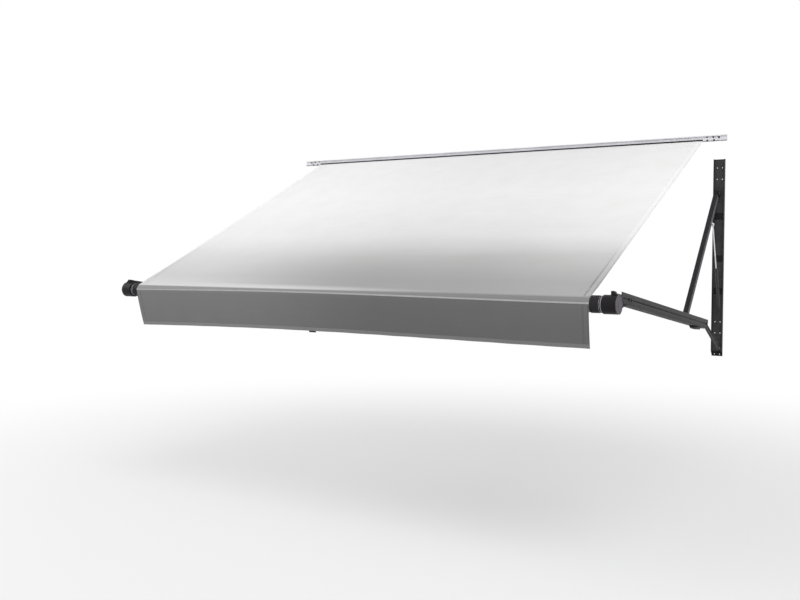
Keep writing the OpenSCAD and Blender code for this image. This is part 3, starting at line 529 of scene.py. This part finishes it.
def canopyPoint(across, run, lift=0.0):
    # across goes from -1 to 1 over the width, run is metres from the bead
    t = run / canopyRun
    free = 4 * t * (1 - t)
    x = across * (awning["halfCloth"] - canopy["pullIn"] * free)
    fade = smooth(run / canopy["railEase"]) * smooth((canopyRun - run) / canopy["rollerEase"])
    edge = max(0.0, abs(across) - canopy["curlFrom"]) / (1 - canopy["curlFrom"])
    rise = -canopy["sag"] * free * (1 - canopy["sideSag"] * across ** 4) - canopy["curl"] * edge ** 2 * fade
    drift = Vector((x * canopy["puckerX"], run * canopy["puckerRun"], canopy["puckerSeed"]))
    rise += canopy["pucker"] * fade * noise.noise(drift * canopy["puckerRate"])
    # pulls that run in from the corners
    for corner in (-1, 1):
        inward = (1 - across * corner) * awning["halfCloth"]
        for end in (run, canopyRun - run):
            far = math.hypot(inward, end)
            heading = math.atan2(end, inward + canopy["creaseSoft"])
            ripple = math.exp(-far / canopy["creaseReach"]) * math.sin(heading * canopy["creaseCount"] + corner)
            rise += canopy["crease"] * fade * ripple
    rise += lift
    out = awning["bead"][0] + runDir[0] * run + topDir[0] * rise
    up = awning["bead"][1] + runDir[1] * run + topDir[1] * rise
    return sidePoint(x, out, up)


def sleevePath():
    # round the rope from under the sheet, over the back and into the sheet: points along and above the run
    path = []
    for k in range(canopy["sleeveSteps"]):
        turn = math.radians(canopy["sleeveFrom"] - canopy["sleeveSweep"] * k / (canopy["sleeveSteps"] - 1))
        path.append((awning["sleeveR"] * math.cos(turn), awning["sleeveR"] * math.sin(turn)))
    return path + canopy["sleeveOut"]


def columnsOf(count):
    # closer together near both side edges, where the hem lies
    return [math.copysign(1 - (1 - abs(a)) ** awning["crowding"], a)
            for a in (2 * i / count - 1 for i in range(count + 1))]


def makeCanopy():
    lanes = columnsOf(canopy["columns"])
    path = sleevePath()
    grid, cut = [], []
    walked = 0.0
    lengths = []
    for k, point in enumerate(path):
        if k:
            walked += math.dist(point, path[k - 1])
        lengths.append(walked)
    for (ahead, above), length in zip(path, lengths):
        row = []
        for a in lanes:
            out = awning["bead"][0] + runDir[0] * ahead + topDir[0] * above
            up = awning["bead"][1] + runDir[1] * ahead + topDir[1] * above
            row.append(sidePoint(a * awning["halfCloth"], out, up))
        grid.append(row)
        cutAt = canopy["sleeveCut"] - (walked - length) * canopy["sleeveShare"]
        cut.append([(a * awning["halfCloth"], cutAt) for a in lanes])
    for j in range(canopy["rows"] + 1):
        run = canopy["neck"] + (canopyRun - canopy["neck"]) * j / canopy["rows"]
        grid.append([canopyPoint(a, run) for a in lanes])
        cut.append([(a * awning["halfCloth"], run) for a in lanes])
    return clothFrom("canopySheet", grid, cut, finishes["canopy_vinyl"], awning["clothT"])


def makeCanopyHems():
    # a folded strip along each side edge, on top of the sheet
    points, faces, cut = [], [], []
    start, steps = canopy["hemFrom"], canopy["hemSteps"]
    order = (0, 1, 2, 5, 4, 3)  # round the strip's section, in numbers of its points
    top = awning["clothT"] / 2 + canopy["hemT"] / 2 + layerGap
    for side in (-1, 1):
        for j in range(steps + 1):
            run = start + (canopyRun - start) * j / steps
            for level in (-0.5, 0.5):
                for inset in (0.0, canopy["hemWide"] / 2, canopy["hemWide"]):
                    across = side * (1 - inset / awning["halfCloth"])
                    points.append(canopyPoint(across, run, top + level * canopy["hemT"]))
                    cut.append((across * awning["halfCloth"], run))
        base = len(points) - (steps + 1) * len(order)
        for j in range(steps):
            near, far = base + j * len(order), base + (j + 1) * len(order)
            for a, b in zip(order, order[1:] + order[:1]):
                ring = (near + a, near + b, far + b, far + a)
                faces.append(ring if side > 0 else tuple(reversed(ring)))
        for end, flip in ((base, side > 0), (base + steps * len(order), side < 0)):
            cap = [end + k for k in order]
            faces.append(tuple(reversed(cap)) if flip else tuple(cap))
    return meshPiece("canopySideHems", points, faces, sideHemCloth, cut)


def makeCanopySewing():
    points, faces = [], []
    top = awning["clothT"] / 2 + canopy["hemT"] + 2 * layerGap
    up = sidePoint(0, *topDir)
    first, last = canopy["sewFrom"], canopyRun - canopy["sewShort"]
    for side in (-1, 1):
        for inset in (canopy["sewEdge"], canopy["hemWide"] - canopy["sewFold"]):
            across = side * (1 - inset / awning["halfCloth"])
            sewRow(points, faces, lambda s, a=across: (canopyPoint(a, s, top), up), first, last)
    return meshPiece("canopySewing", points, faces, sewingThread, sharp=stitch["sharp"])


# the canopy pieces ride on the wall body, each with a mesh of its own
def foldCanopy(piece):
    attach(piece, "wall")
    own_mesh(piece)


canopySheet, canopyHems, canopySewing = makeCanopy(), makeCanopyHems(), makeCanopySewing()
for piece in (canopySheet, canopyHems, canopySewing):
    foldCanopy(piece)
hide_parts("canopy")
print("canopy made, cut", round(clothWide, 3), "by", round(canopyRun + canopy["ropeCloth"], 3))

# the turn left on the roller: from the landing line over the front, once round and into the rope groove
turnOfCloth = {
    "columns": 96, "steps": 84, "innerR": 0.04275, "sweep": 376.6, "grooveAngle": 45.03, "grooveR": 0.034,
    "ropeSteps": 14, "ropeFrom": 24, "ropeSweep": 318.0, "startGap": 0.4, "settle": 1.2,
}


def rollerPoint(x, radius, angle):
    out, up = awning["roller"]
    return sidePoint(x, out + radius * math.cos(angle), up + radius * math.sin(angle))


def turnPath():
    t = turnOfCloth
    path = []
    for k in range(t["steps"] + 1):
        share = k / t["steps"]
        angle = landing - math.radians(t["startGap"] + t["sweep"] * share)
        path.append((awning["sheetR"] + (t["innerR"] - awning["sheetR"]) * smooth(share * t["settle"]), angle))
    points = [(r * math.cos(a), r * math.sin(a)) for r, a in path]
    # down into the groove and round the rope there
    g = math.radians(t["grooveAngle"])
    axis, left = (math.cos(g), math.sin(g)), (-math.sin(g), math.cos(g))
    for k in range(t["ropeSteps"]):
        turn = math.radians(t["ropeFrom"] - t["ropeSweep"] * k / (t["ropeSteps"] - 1))
        ahead = t["grooveR"] + awning["sleeveR"] * math.cos(turn)
        aside = awning["sleeveR"] * math.sin(turn)
        points.append((axis[0] * ahead + left[0] * aside, axis[1] * ahead + left[1] * aside))
    return points


def makeTurn():
    lanes = columnsOf(turnOfCloth["columns"])
    grid, cut = [], []
    walked = canopyRun
    path = turnPath()
    for k, (ahead, above) in enumerate(path):
        if k:
            walked += math.dist(path[k], path[k - 1])
        out, up = awning["roller"][0] + ahead, awning["roller"][1] + above
        grid.append([sidePoint(a * awning["halfCloth"], out, up) for a in lanes])
        cut.append([(a * awning["halfCloth"], walked) for a in lanes])
    return clothFrom("clothTurn", grid, cut, finishes["canopy_vinyl"], awning["clothT"]), walked - canopyRun


# this cloth takes the canopy's finish, whose fade paints shade on the roller's front
clothTurn, turnLength = makeTurn()
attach(clothTurn, "roller")
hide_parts("canopy_turn")

# the seam and the bottom edge of the valance are not quite straight: they rise towards the middle
seamBow = {"rise": 0.013, "peak": 0.81, "ease": 1.5, "leftDip": 0.012}


def widthShare(x):
    return min(1.0, max(0.0, 0.5 + x / clothWide))


def seamRise(x):
    bow = math.sin(math.pi * widthShare(x) ** seamBow["peak"])
    return seamBow["rise"] * max(0.0, bow) ** seamBow["ease"]


def hemRise(x):
    return seamRise(x) - seamBow["leftDip"] * (1 - widthShare(x)) ** 3


# pale tape over the seam that joins the valance, with two rows of sewing
seamTape = {
    "columns": 160, "steps": 6, "up": 0.0064, "spread": 6.0, "sewn": 4.0, "sewShort": 0.007,
    "radius": 0.0462, "thickness": 0.0007, "ripple": 0.0001, "rippleRate": 37,
}


def tapeAngle(x):
    return math.asin((seamTape["up"] + seamRise(x)) / seamTape["radius"])


def makeTape():
    t = seamTape
    grid, cut = [], []
    for j in range(t["steps"] + 1):
        aside = math.radians(t["spread"] * (1 - 2 * j / t["steps"]))
        row, uv = [], []
        for i in range(t["columns"] + 1):
            x = awning["halfCloth"] * (2 * i / t["columns"] - 1)
            ripple = t["ripple"] * math.sin(x * t["rippleRate"])
            row.append(rollerPoint(x, t["radius"] + ripple, tapeAngle(x) + aside))
            uv.append((x, t["radius"] * aside))
        grid.append(row)
        cut.append(uv)
    return clothFrom("seamTapeStrip", grid, cut, finishes["tape"], t["thickness"])


def makeTapeSewing():
    points, faces = [], []
    radius = seamTape["radius"] + seamTape["thickness"] / 2 + layerGap
    end = awning["halfCloth"] - seamTape["sewShort"]
    for aside in (math.radians(-seamTape["sewn"]), math.radians(seamTape["sewn"])):
        def place(x, aside=aside):
            angle = tapeAngle(x) + aside
            return rollerPoint(x, radius, angle), sidePoint(0, math.cos(angle), math.sin(angle))
        sewRow(points, faces, place, -end, end)
    return meshPiece("seamTapeSewing", points, faces, sewingThread, sharp=stitch["sharp"])


tapeStrip, tapeSewing = makeTape(), makeTapeSewing()
for piece in (tapeStrip, tapeSewing):
    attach(piece, "roller")
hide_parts("seam_tape")

# the valance: hangs from the seam in soft waves, its left edge cut at a slant
valance = {
    "columns": 260, "rows": 26, "drop": 0.238, "lean": 0.045, "swing": 0.028, "waves": 13, "depth": 0.007,
    "top": 0.0452, "topUp": 0.003, "tuck": 7.2, "flutter": 0.0016,
    "hemWide": 0.022, "hemT": 0.0006, "sideHem": 0.038, "sideHemFrom": 0.04,
    "tuckRows": 4, "hemRows": 4, "sideLanes": 6,
    "slowWave": 0.4, "slowRate": 0.37, "slowStart": 50, "waveLift": 1.4, "waveEase": 1.3, "swingEase": 1.5,
    "flutterX": 9.0, "flutterDrop": 1.4, "flutterSeed": 7.7,
    "hemSewn": 0.003, "hemSewShort": 0.01, "sideSewn": 0.004, "sideSewFrom": 0.012,
}


def valancePoint(t, d, lift=0.0):
    # t goes over the width, d down the drop
    v = valance
    x = -awning["halfCloth"] + v["lean"] * d + t * (clothWide - v["lean"] * d)
    phase = 2 * math.pi * v["waves"] * t
    wave = math.sin(phase) + v["slowWave"] * math.sin(v["slowRate"] * phase + math.radians(v["slowStart"]))
    up = v["topUp"] - d * v["drop"] + seamRise(x) * (1 - d) + hemRise(x) * d
    out = math.sqrt(v["top"] ** 2 - max(0.0, up) ** 2)  # on the roller above its middle, hanging free below
    out += v["depth"] * d ** v["waveEase"] * (wave + v["waveLift"]) / 2 - v["swing"] * d ** v["swingEase"]
    drift = Vector((x * v["flutterX"], d * v["flutterDrop"], v["flutterSeed"]))
    out += v["flutter"] * d * d * noise.noise(drift)
    return sidePoint(x, awning["roller"][0] + out + lift, awning["roller"][1] + up)


def valanceCut(d):
    columns = valance["columns"]
    return [(clothWide * i / columns - awning["halfCloth"], d * valance["drop"]) for i in range(columns + 1)]


def makeValance():
    v = valance
    grid, cut = [], []
    for k in range(v["tuckRows"]):
        above = math.radians(v["tuck"]) * (1 - k / v["tuckRows"])
        row, uv = [], []
        for i in range(v["columns"] + 1):
            x = awning["halfCloth"] * (2 * i / v["columns"] - 1)
            row.append(rollerPoint(x, v["top"], math.asin((v["topUp"] + seamRise(x)) / v["top"]) + above))
            uv.append((x, -v["top"] * above))
        grid.append(row)
        cut.append(uv)
    for j in range(v["rows"] + 1):
        d = j / v["rows"]
        grid.append([valancePoint(i / v["columns"], d) for i in range(v["columns"] + 1)])
        cut.append(valanceCut(d))
    return clothFrom("valanceSheet", grid, cut, finishes["valance_vinyl"], awning["clothT"])


def makeValanceHem():
    # the bottom edge turned up over the front
    v = valance
    grid, cut = [], []
    proud = awning["clothT"] / 2 + v["hemT"] / 2 + layerGap
    for j in range(v["hemRows"] + 1):
        d = 1 - v["hemWide"] / v["drop"] * (1 - j / v["hemRows"])
        grid.append([valancePoint(i / v["columns"], d, proud) for i in range(v["columns"] + 1)])
        cut.append(valanceCut(d))
    return clothFrom("valanceHem", grid, cut, hemCloth, v["hemT"])


def makeValanceSideHem(side):
    # the end turned over the front, from under the tape down to the bottom hem
    v = valance
    proud = awning["clothT"] / 2 + v["hemT"] / 2 + layerGap
    wide = v["sideHem"] / clothWide
    start = 1 - wide if side == "right" else 0.0
    lanes = [start + wide * i / v["sideLanes"] for i in range(v["sideLanes"] + 1)]
    grid, cut = [], []
    for j in range(v["rows"] + 1):
        d = v["sideHemFrom"] + (1 - v["hemWide"] / v["drop"] - v["sideHemFrom"]) * j / v["rows"]
        grid.append([valancePoint(t, d, proud) for t in lanes])
        cut.append([(clothWide * t - awning["halfCloth"], d * v["drop"]) for t in lanes])
    return clothFrom("valanceSideHem_" + side, grid, cut, valanceSideCloth, v["hemT"])


def makeValanceSewing():
    v = valance
    points, faces = [], []
    proud = awning["clothT"] / 2 + v["hemT"] + 2 * layerGap
    forward = sidePoint(0, 1, 0)
    inset = v["sideHem"] - v["sideSewn"]
    for x in (inset, clothWide - inset):
        sewRow(points, faces, lambda s, t=x / clothWide: (valancePoint(t, s / v["drop"], proud), forward),
               v["sideSewFrom"], v["drop"] - v["hemWide"] - v["sideSewn"])
    short = v["hemSewShort"]
    for inset in (v["hemSewn"], v["hemWide"] - v["hemSewn"]):
        d = 1 - inset / v["drop"]
        sewRow(points, faces, lambda s, e=d: (valancePoint(s / clothWide, e, proud), forward),
               short, clothWide - short)
    return meshPiece("valanceSewing", points, faces, sewingThread, sharp=stitch["sharp"])


valanceSheet, valanceHem, valanceSewing = makeValance(), makeValanceHem(), makeValanceSewing()
valanceSideHems = [makeValanceSideHem(side) for side in ("right", "left")]
for piece in (valanceSheet, valanceHem, valanceSewing, *valanceSideHems):
    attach(piece, "roller")
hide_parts("valance")
print("roller cloth made: turn", round(turnLength, 3), "valance", valance["drop"])


# turned shapes on one axis: each ring is how far along, how wide, and whether it is a hexagon
def turnOnto(bm, origin, axis, rings, sides=24, hollow=False):
    axis = Vector(axis).normalized()
    helper = Vector((0, 0, 1)) if abs(axis.z) < 0.9 else Vector((1, 0, 0))
    right = axis.cross(helper).normalized()
    upward = axis.cross(right)
    loops = []
    for along, radius, hexed in rings:
        loop = []
        for k in range(sides):
            turn = 2 * math.pi * k / sides
            sixth = (turn + math.pi / 6) % (math.pi / 3) - math.pi / 6
            wide = radius / math.cos(sixth) if hexed else radius
            spoke = right * math.cos(turn) + upward * math.sin(turn)
            loop.append(bm.verts.new(Vector(origin) + axis * along + spoke * wide))
        loops.append(loop)
    for low, high in zip(loops, loops[1:] + loops[:1] if hollow else loops[1:]):
        for k in range(sides):
            n = (k + 1) % sides
            bm.faces.new((low[k], low[n], high[n], high[k]))
    if not hollow:
        bm.faces.new(list(reversed(loops[0])))
        bm.faces.new(loops[-1])


def plateOnto(bm, outline, x0, x1, bevel):
    # a side outline carried from x0 to x1, with its edges rounded
    loops = [[bm.verts.new(sidePoint(x, *p)) for p in outline] for x in (x0, x1)]
    made = [bm.faces.new(loops[0]), bm.faces.new(list(reversed(loops[1])))]
    for k in range(len(outline)):
        n = (k + 1) % len(outline)
        made.append(bm.faces.new((loops[0][n], loops[0][k], loops[1][k], loops[1][n])))
    bmesh.ops.recalc_face_normals(bm, faces=made)
    edges = list({e for f in made for e in f.edges})
    bmesh.ops.bevel(bm, geom=edges, offset=bevel, segments=2, profile=0.5, affect="EDGES")


def pieceFrom(bm, name, finish, body, sharp=35.0):
    bmesh.ops.recalc_face_normals(bm, faces=bm.faces[:])
    mesh = bpy.data.meshes.new(name)
    bm.to_mesh(mesh)
    bm.free()
    piece = finishMesh(mesh, name, finish, sharp)
    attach(piece, body)
    return piece


def armPoint(x, along, across):
    slope = math.radians(awning["armSlope"])
    out = awning["elbow"][0] + along * math.cos(slope) - across * math.sin(slope)
    up = awning["elbow"][1] + along * math.sin(slope) + across * math.cos(slope)
    return sidePoint(x, out, up)


def armOutline(corners):
    return [(-armPoint(0, u, v).y, armPoint(0, u, v).z) for u, v in corners]


# button heads with a hexagon socket on the arm's bolts, on both sides
screwHeads = {
    "tongueBolts": (1.5619, 1.596), "boltFace": 0.0371, "pinFace": 0.0361, "pinSize": 1.12,
    "rings": [(0.0, 0.0085, False), (0.0008, 0.0084, False), (0.0018, 0.0066, False), (0.0022, 0.0046, False),
              (0.0022, 0.0030, True), (0.0006, 0.0028, True)],
}
# painted shade: black strips in the grooves along the arm, standing in for the grooves' shadow, left open at the
# bolts; the outer groove runs on along the cheek
grooveShadeStrip = {
    "outer": [(0.0125, 1.5532), (1.5706, 1.5873), (1.6047, 1.690)],
    "inner": [(0.0125, 0.3775), (0.4005, 1.5532), (1.5706, 1.5873)],
    "floor": 0.0315, "face": 0.0326, "half": 0.0036, "round": 0.0003,
}
# pad under the arm that the folded pitch arm rests against
travelStop = {"along": (0.10, 0.235), "depth": 0.017, "wide": 0.040, "lead": 0.012, "tail": 0.03, "lip": 0.007,
              "round": 0.0025}
# on the neck between the roller's cap and the drum: a black shroud, with pale grey rings beside it painted as
# highlights on the neck's edges
neckDress = {"inner": 0.0274, "shroud": [(1.7551, 1.7600, 0.0455)],
             "rings": [(1.7525, 1.7550, 0.0450), (1.7601, 1.7650, 0.0440), (1.7651, 1.7695, 0.0365)],
             "edge": 0.0006, "sides": 64, "highlightLevel": 160}
neckHighlightCoat = coatFinish("neckHighlightCoat", dict(rigidFinishes["disc"], level=neckDress["highlightLevel"]))
for side, sign in bothSides:
    x = sign * awning["armX"]
    body = "arm_" + side
    bm = bmesh.new()
    for along in screwHeads["tongueBolts"]:
        for way in (1, -1):
            face = armPoint(x + way * screwHeads["boltFace"], along, 0)
            turnOnto(bm, face, (way, 0, 0), screwHeads["rings"])
    for way in (1, -1):
        face = armPoint(x + way * screwHeads["pinFace"], 0, 0)
        turnOnto(bm, face, (way, 0, 0), [(a, r * screwHeads["pinSize"], h) for a, r, h in screwHeads["rings"]])
    pieceFrom(bm, "armScrewHeads_" + side, finishes["bolt"], body)
    bm = bmesh.new()
    # the painted shade strips, in both grooves
    g = grooveShadeStrip
    for name, way in (("outer", sign), ("inner", -sign)):
        for u0, u1 in g[name]:
            outline = armOutline([(u0, -g["half"]), (u1, -g["half"]), (u1, g["half"]), (u0, g["half"])])
            plateOnto(bm, outline, x + way * g["floor"], x + way * g["face"], g["round"])
    pieceFrom(bm, "armGrooveShadeStrips_" + side, finishes["seal"], body)
    bm = bmesh.new()
    u0, u1 = travelStop["along"]
    top = awning["armUnder"]
    low = top - travelStop["depth"]
    outline = armOutline([(u0, top), (u0 + travelStop["lead"], low), (u1 - travelStop["tail"], low),
                          (u1, top - travelStop["lip"]), (u1, top)])
    plateOnto(bm, outline, x - travelStop["wide"] / 2, x + travelStop["wide"] / 2, travelStop["round"])
    pieceFrom(bm, "travelStop_" + side, finishes["moulding"], body)
    # the grey rings take the paler coat of the painted highlights
    n = neckDress
    for name, parts, slot, coat in (("neckShroud_", n["shroud"], "moulding", finishes["moulding"]),
                                    ("neckHighlightRings_", n["rings"], "disc", neckHighlightCoat)):
        bm = bmesh.new()
        for x0, x1, outer in parts:
            e = n["edge"]
            rings = [(0, n["inner"]), (0, outer - e), (e, outer), (x1 - x0 - e, outer), (x1 - x0, outer - e),
                     (x1 - x0, n["inner"])]
            start = sidePoint(sign * x0, *awning["roller"])
            turnOnto(bm, start, (sign, 0, 0), [(a, r, False) for a, r in rings], n["sides"], hollow=True)
        pieceFrom(bm, name + side, coat, body)
print("arm fittings made")

# rubber buffers in the wall channels, which the folded arms come to rest near
stowBuffer = {"heights": (-0.55, -0.85, -1.08), "face": 0.0031, "thick": 0.0045, "tall": 0.046, "wide": 0.056,
              "taper": 0.004, "round": 0.001}
for side, sign in bothSides:
    bm = bmesh.new()
    b = stowBuffer
    for up in b["heights"]:
        x = sign * awning["armX"]
        low, high, front = up - b["tall"] / 2, up + b["tall"] / 2, b["face"] + b["thick"]
        outline = [(b["face"], low), (b["face"], high), (front, high - b["taper"]), (front, low + b["taper"])]
        plateOnto(bm, outline, x - b["wide"] / 2, x + b["wide"] / 2, b["round"])
    pieceFrom(bm, "stowBuffers_" + side, finishes["seal"], "wall")

# small black screws at the rail's ends: three through the flange, two that stop the hem rope
railScrew = {"flange": [(1.811, 0.006), (1.772, 0.010), (1.728, 0.013)], "flangeFace": 0.0031,
             "stops": [(1.734, -0.0142), (1.780, -0.0142)], "stopsFace": 0.0163, "size": 0.85}
bm = bmesh.new()
for sign in (1, -1):
    for kind in ("flange", "stops"):
        for x, up in railScrew[kind]:
            rings = [(a, r * railScrew["size"], h) for a, r, h in screwHeads["rings"]]
            turnOnto(bm, sidePoint(sign * x, railScrew[kind + "Face"], up), (0, -1, 0), rings)
pieceFrom(bm, "railEndScrews", finishes["bolt"], "wall")

# plugs in the open ends of the rail's rope channel
railPlug = {"from": 1.853, "to": 1.8665, "radius": 0.0050}
bm = bmesh.new()
for sign in (1, -1):
    start = sidePoint(sign * railPlug["from"], *awning["bead"])
    run = railPlug["to"] - railPlug["from"]
    # how far along, and the share of the full radius there
    steps = [(0, 0.8), (0.002, 1), (run - 0.0015, 1), (run - 0.0004, 0.85), (run, 0.4), (run, 0.1)]
    turnOnto(bm, start, (sign, 0, 0), [(along, share * railPlug["radius"], False) for along, share in steps])
pieceFrom(bm, "railPlugs", finishes["moulding"], "wall")
print("wall fittings made")

# pale floor that runs out to white, soft lamps
studio = {
    "floorUp": -2.62, "floorRadius": 14.0, "floorMiddle": (0.0, -1.1), "floorSides": 96, "floorLevel": 244,
    "fadeFrom": 2.0, "fadeTo": 7.0, "paleness": 0.4, "ambient": 0.68, "wallSide": 0.4, "wallSpan": (-0.35, 0.7),
    "lamps": [("keyLamp", (4.5, -6.5, 6.0), (0.0, -1.2, -0.8), 5.0, 350.0),
              ("fillLamp", (-6.5, -4.5, 3.0), (0.0, -1.0, -0.8), 5.0, 158.0)],
}


def backdropShare(tree):
    path = addNode(tree, "ShaderNodeLightPath")
    seen = mathOf(tree, "MAXIMUM", path.outputs["Is Camera Ray"], path.outputs["Is Glossy Ray"])
    return mathOf(tree, "MAXIMUM", seen, path.outputs["Is Transmission Ray"])


def makeFloor(c):
    mesh = bpy.data.meshes.new("studioFloor")
    middle = (*c["floorMiddle"], c["floorUp"])
    turns = [2 * math.pi * k / c["floorSides"] for k in range(c["floorSides"])]
    points = [(middle[0] + c["floorRadius"] * math.cos(t), middle[1] + c["floorRadius"] * math.sin(t), middle[2])
              for t in turns]
    mesh.from_pydata(points, [], [tuple(range(len(points)))])
    floor = bpy.data.objects.new("studioFloor", mesh)
    scene.collection.objects.link(floor)
    finish, tree, shader = startFinish("paleFloor", Roughness=0.85)
    shader.inputs["Base Color"].default_value = grey(c["floorLevel"])
    sockets = {0: placeOf(tree), 1: middle}
    away = addNode(tree, "ShaderNodeVectorMath", sockets, operation="DISTANCE").outputs["Value"]
    far = rangeOf(tree, away, c["fadeFrom"], c["fadeTo"], c["paleness"], 1.0)
    white = addNode(tree, "ShaderNodeEmission", {"Color": pureWhite, "Strength": 1.0})
    mix = addNode(tree, "ShaderNodeMixShader", {0: mathOf(tree, "MULTIPLY", far, backdropShare(tree))})
    tree.links.new(shader.outputs[0], mix.inputs[1])
    tree.links.new(white.outputs[0], mix.inputs[2])
    tree.links.new(mix.outputs[0], tree.nodes["Material Output"].inputs["Surface"])
    mesh.materials.append(finish)


def makeLight(c):
    world = bpy.data.worlds.new("studioWorld")
    scene.world = world
    world.use_nodes = True
    tree = world.node_tree
    tree.nodes.clear()
    # the wall that carries the rail keeps light off that side
    direction = addNode(tree, "ShaderNodeTexCoord").outputs["Generated"]
    heading = addNode(tree, "ShaderNodeSeparateXYZ", {0: direction}).outputs["Y"]
    level = rangeOf(tree, heading, *c["wallSpan"], c["ambient"], c["ambient"] * c["wallSide"])
    soft = addNode(tree, "ShaderNodeBackground", {"Color": pureWhite, "Strength": level})
    white = addNode(tree, "ShaderNodeBackground", {"Color": pureWhite, "Strength": 1.0})
    mix = addNode(tree, "ShaderNodeMixShader", {0: backdropShare(tree)})
    tree.links.new(soft.outputs[0], mix.inputs[1])
    tree.links.new(white.outputs[0], mix.inputs[2])
    output = addNode(tree, "ShaderNodeOutputWorld")
    tree.links.new(mix.outputs[0], output.inputs["Surface"])
    for name, place, target, size, power in c["lamps"]:
        lamp = bpy.data.lights.new(name, "AREA")
        lamp.shape = "DISK"
        lamp.size = size
        lamp.energy = power
        holder = bpy.data.objects.new(name, lamp)
        scene.collection.objects.link(holder)
        look = Vector(target) - Vector(place)
        holder.matrix_world = Matrix.Translation(place) @ look.to_track_quat("-Z", "Y").to_matrix().to_4x4()


makeFloor(studio)
makeLight(studio)
print("floor and lamps set")
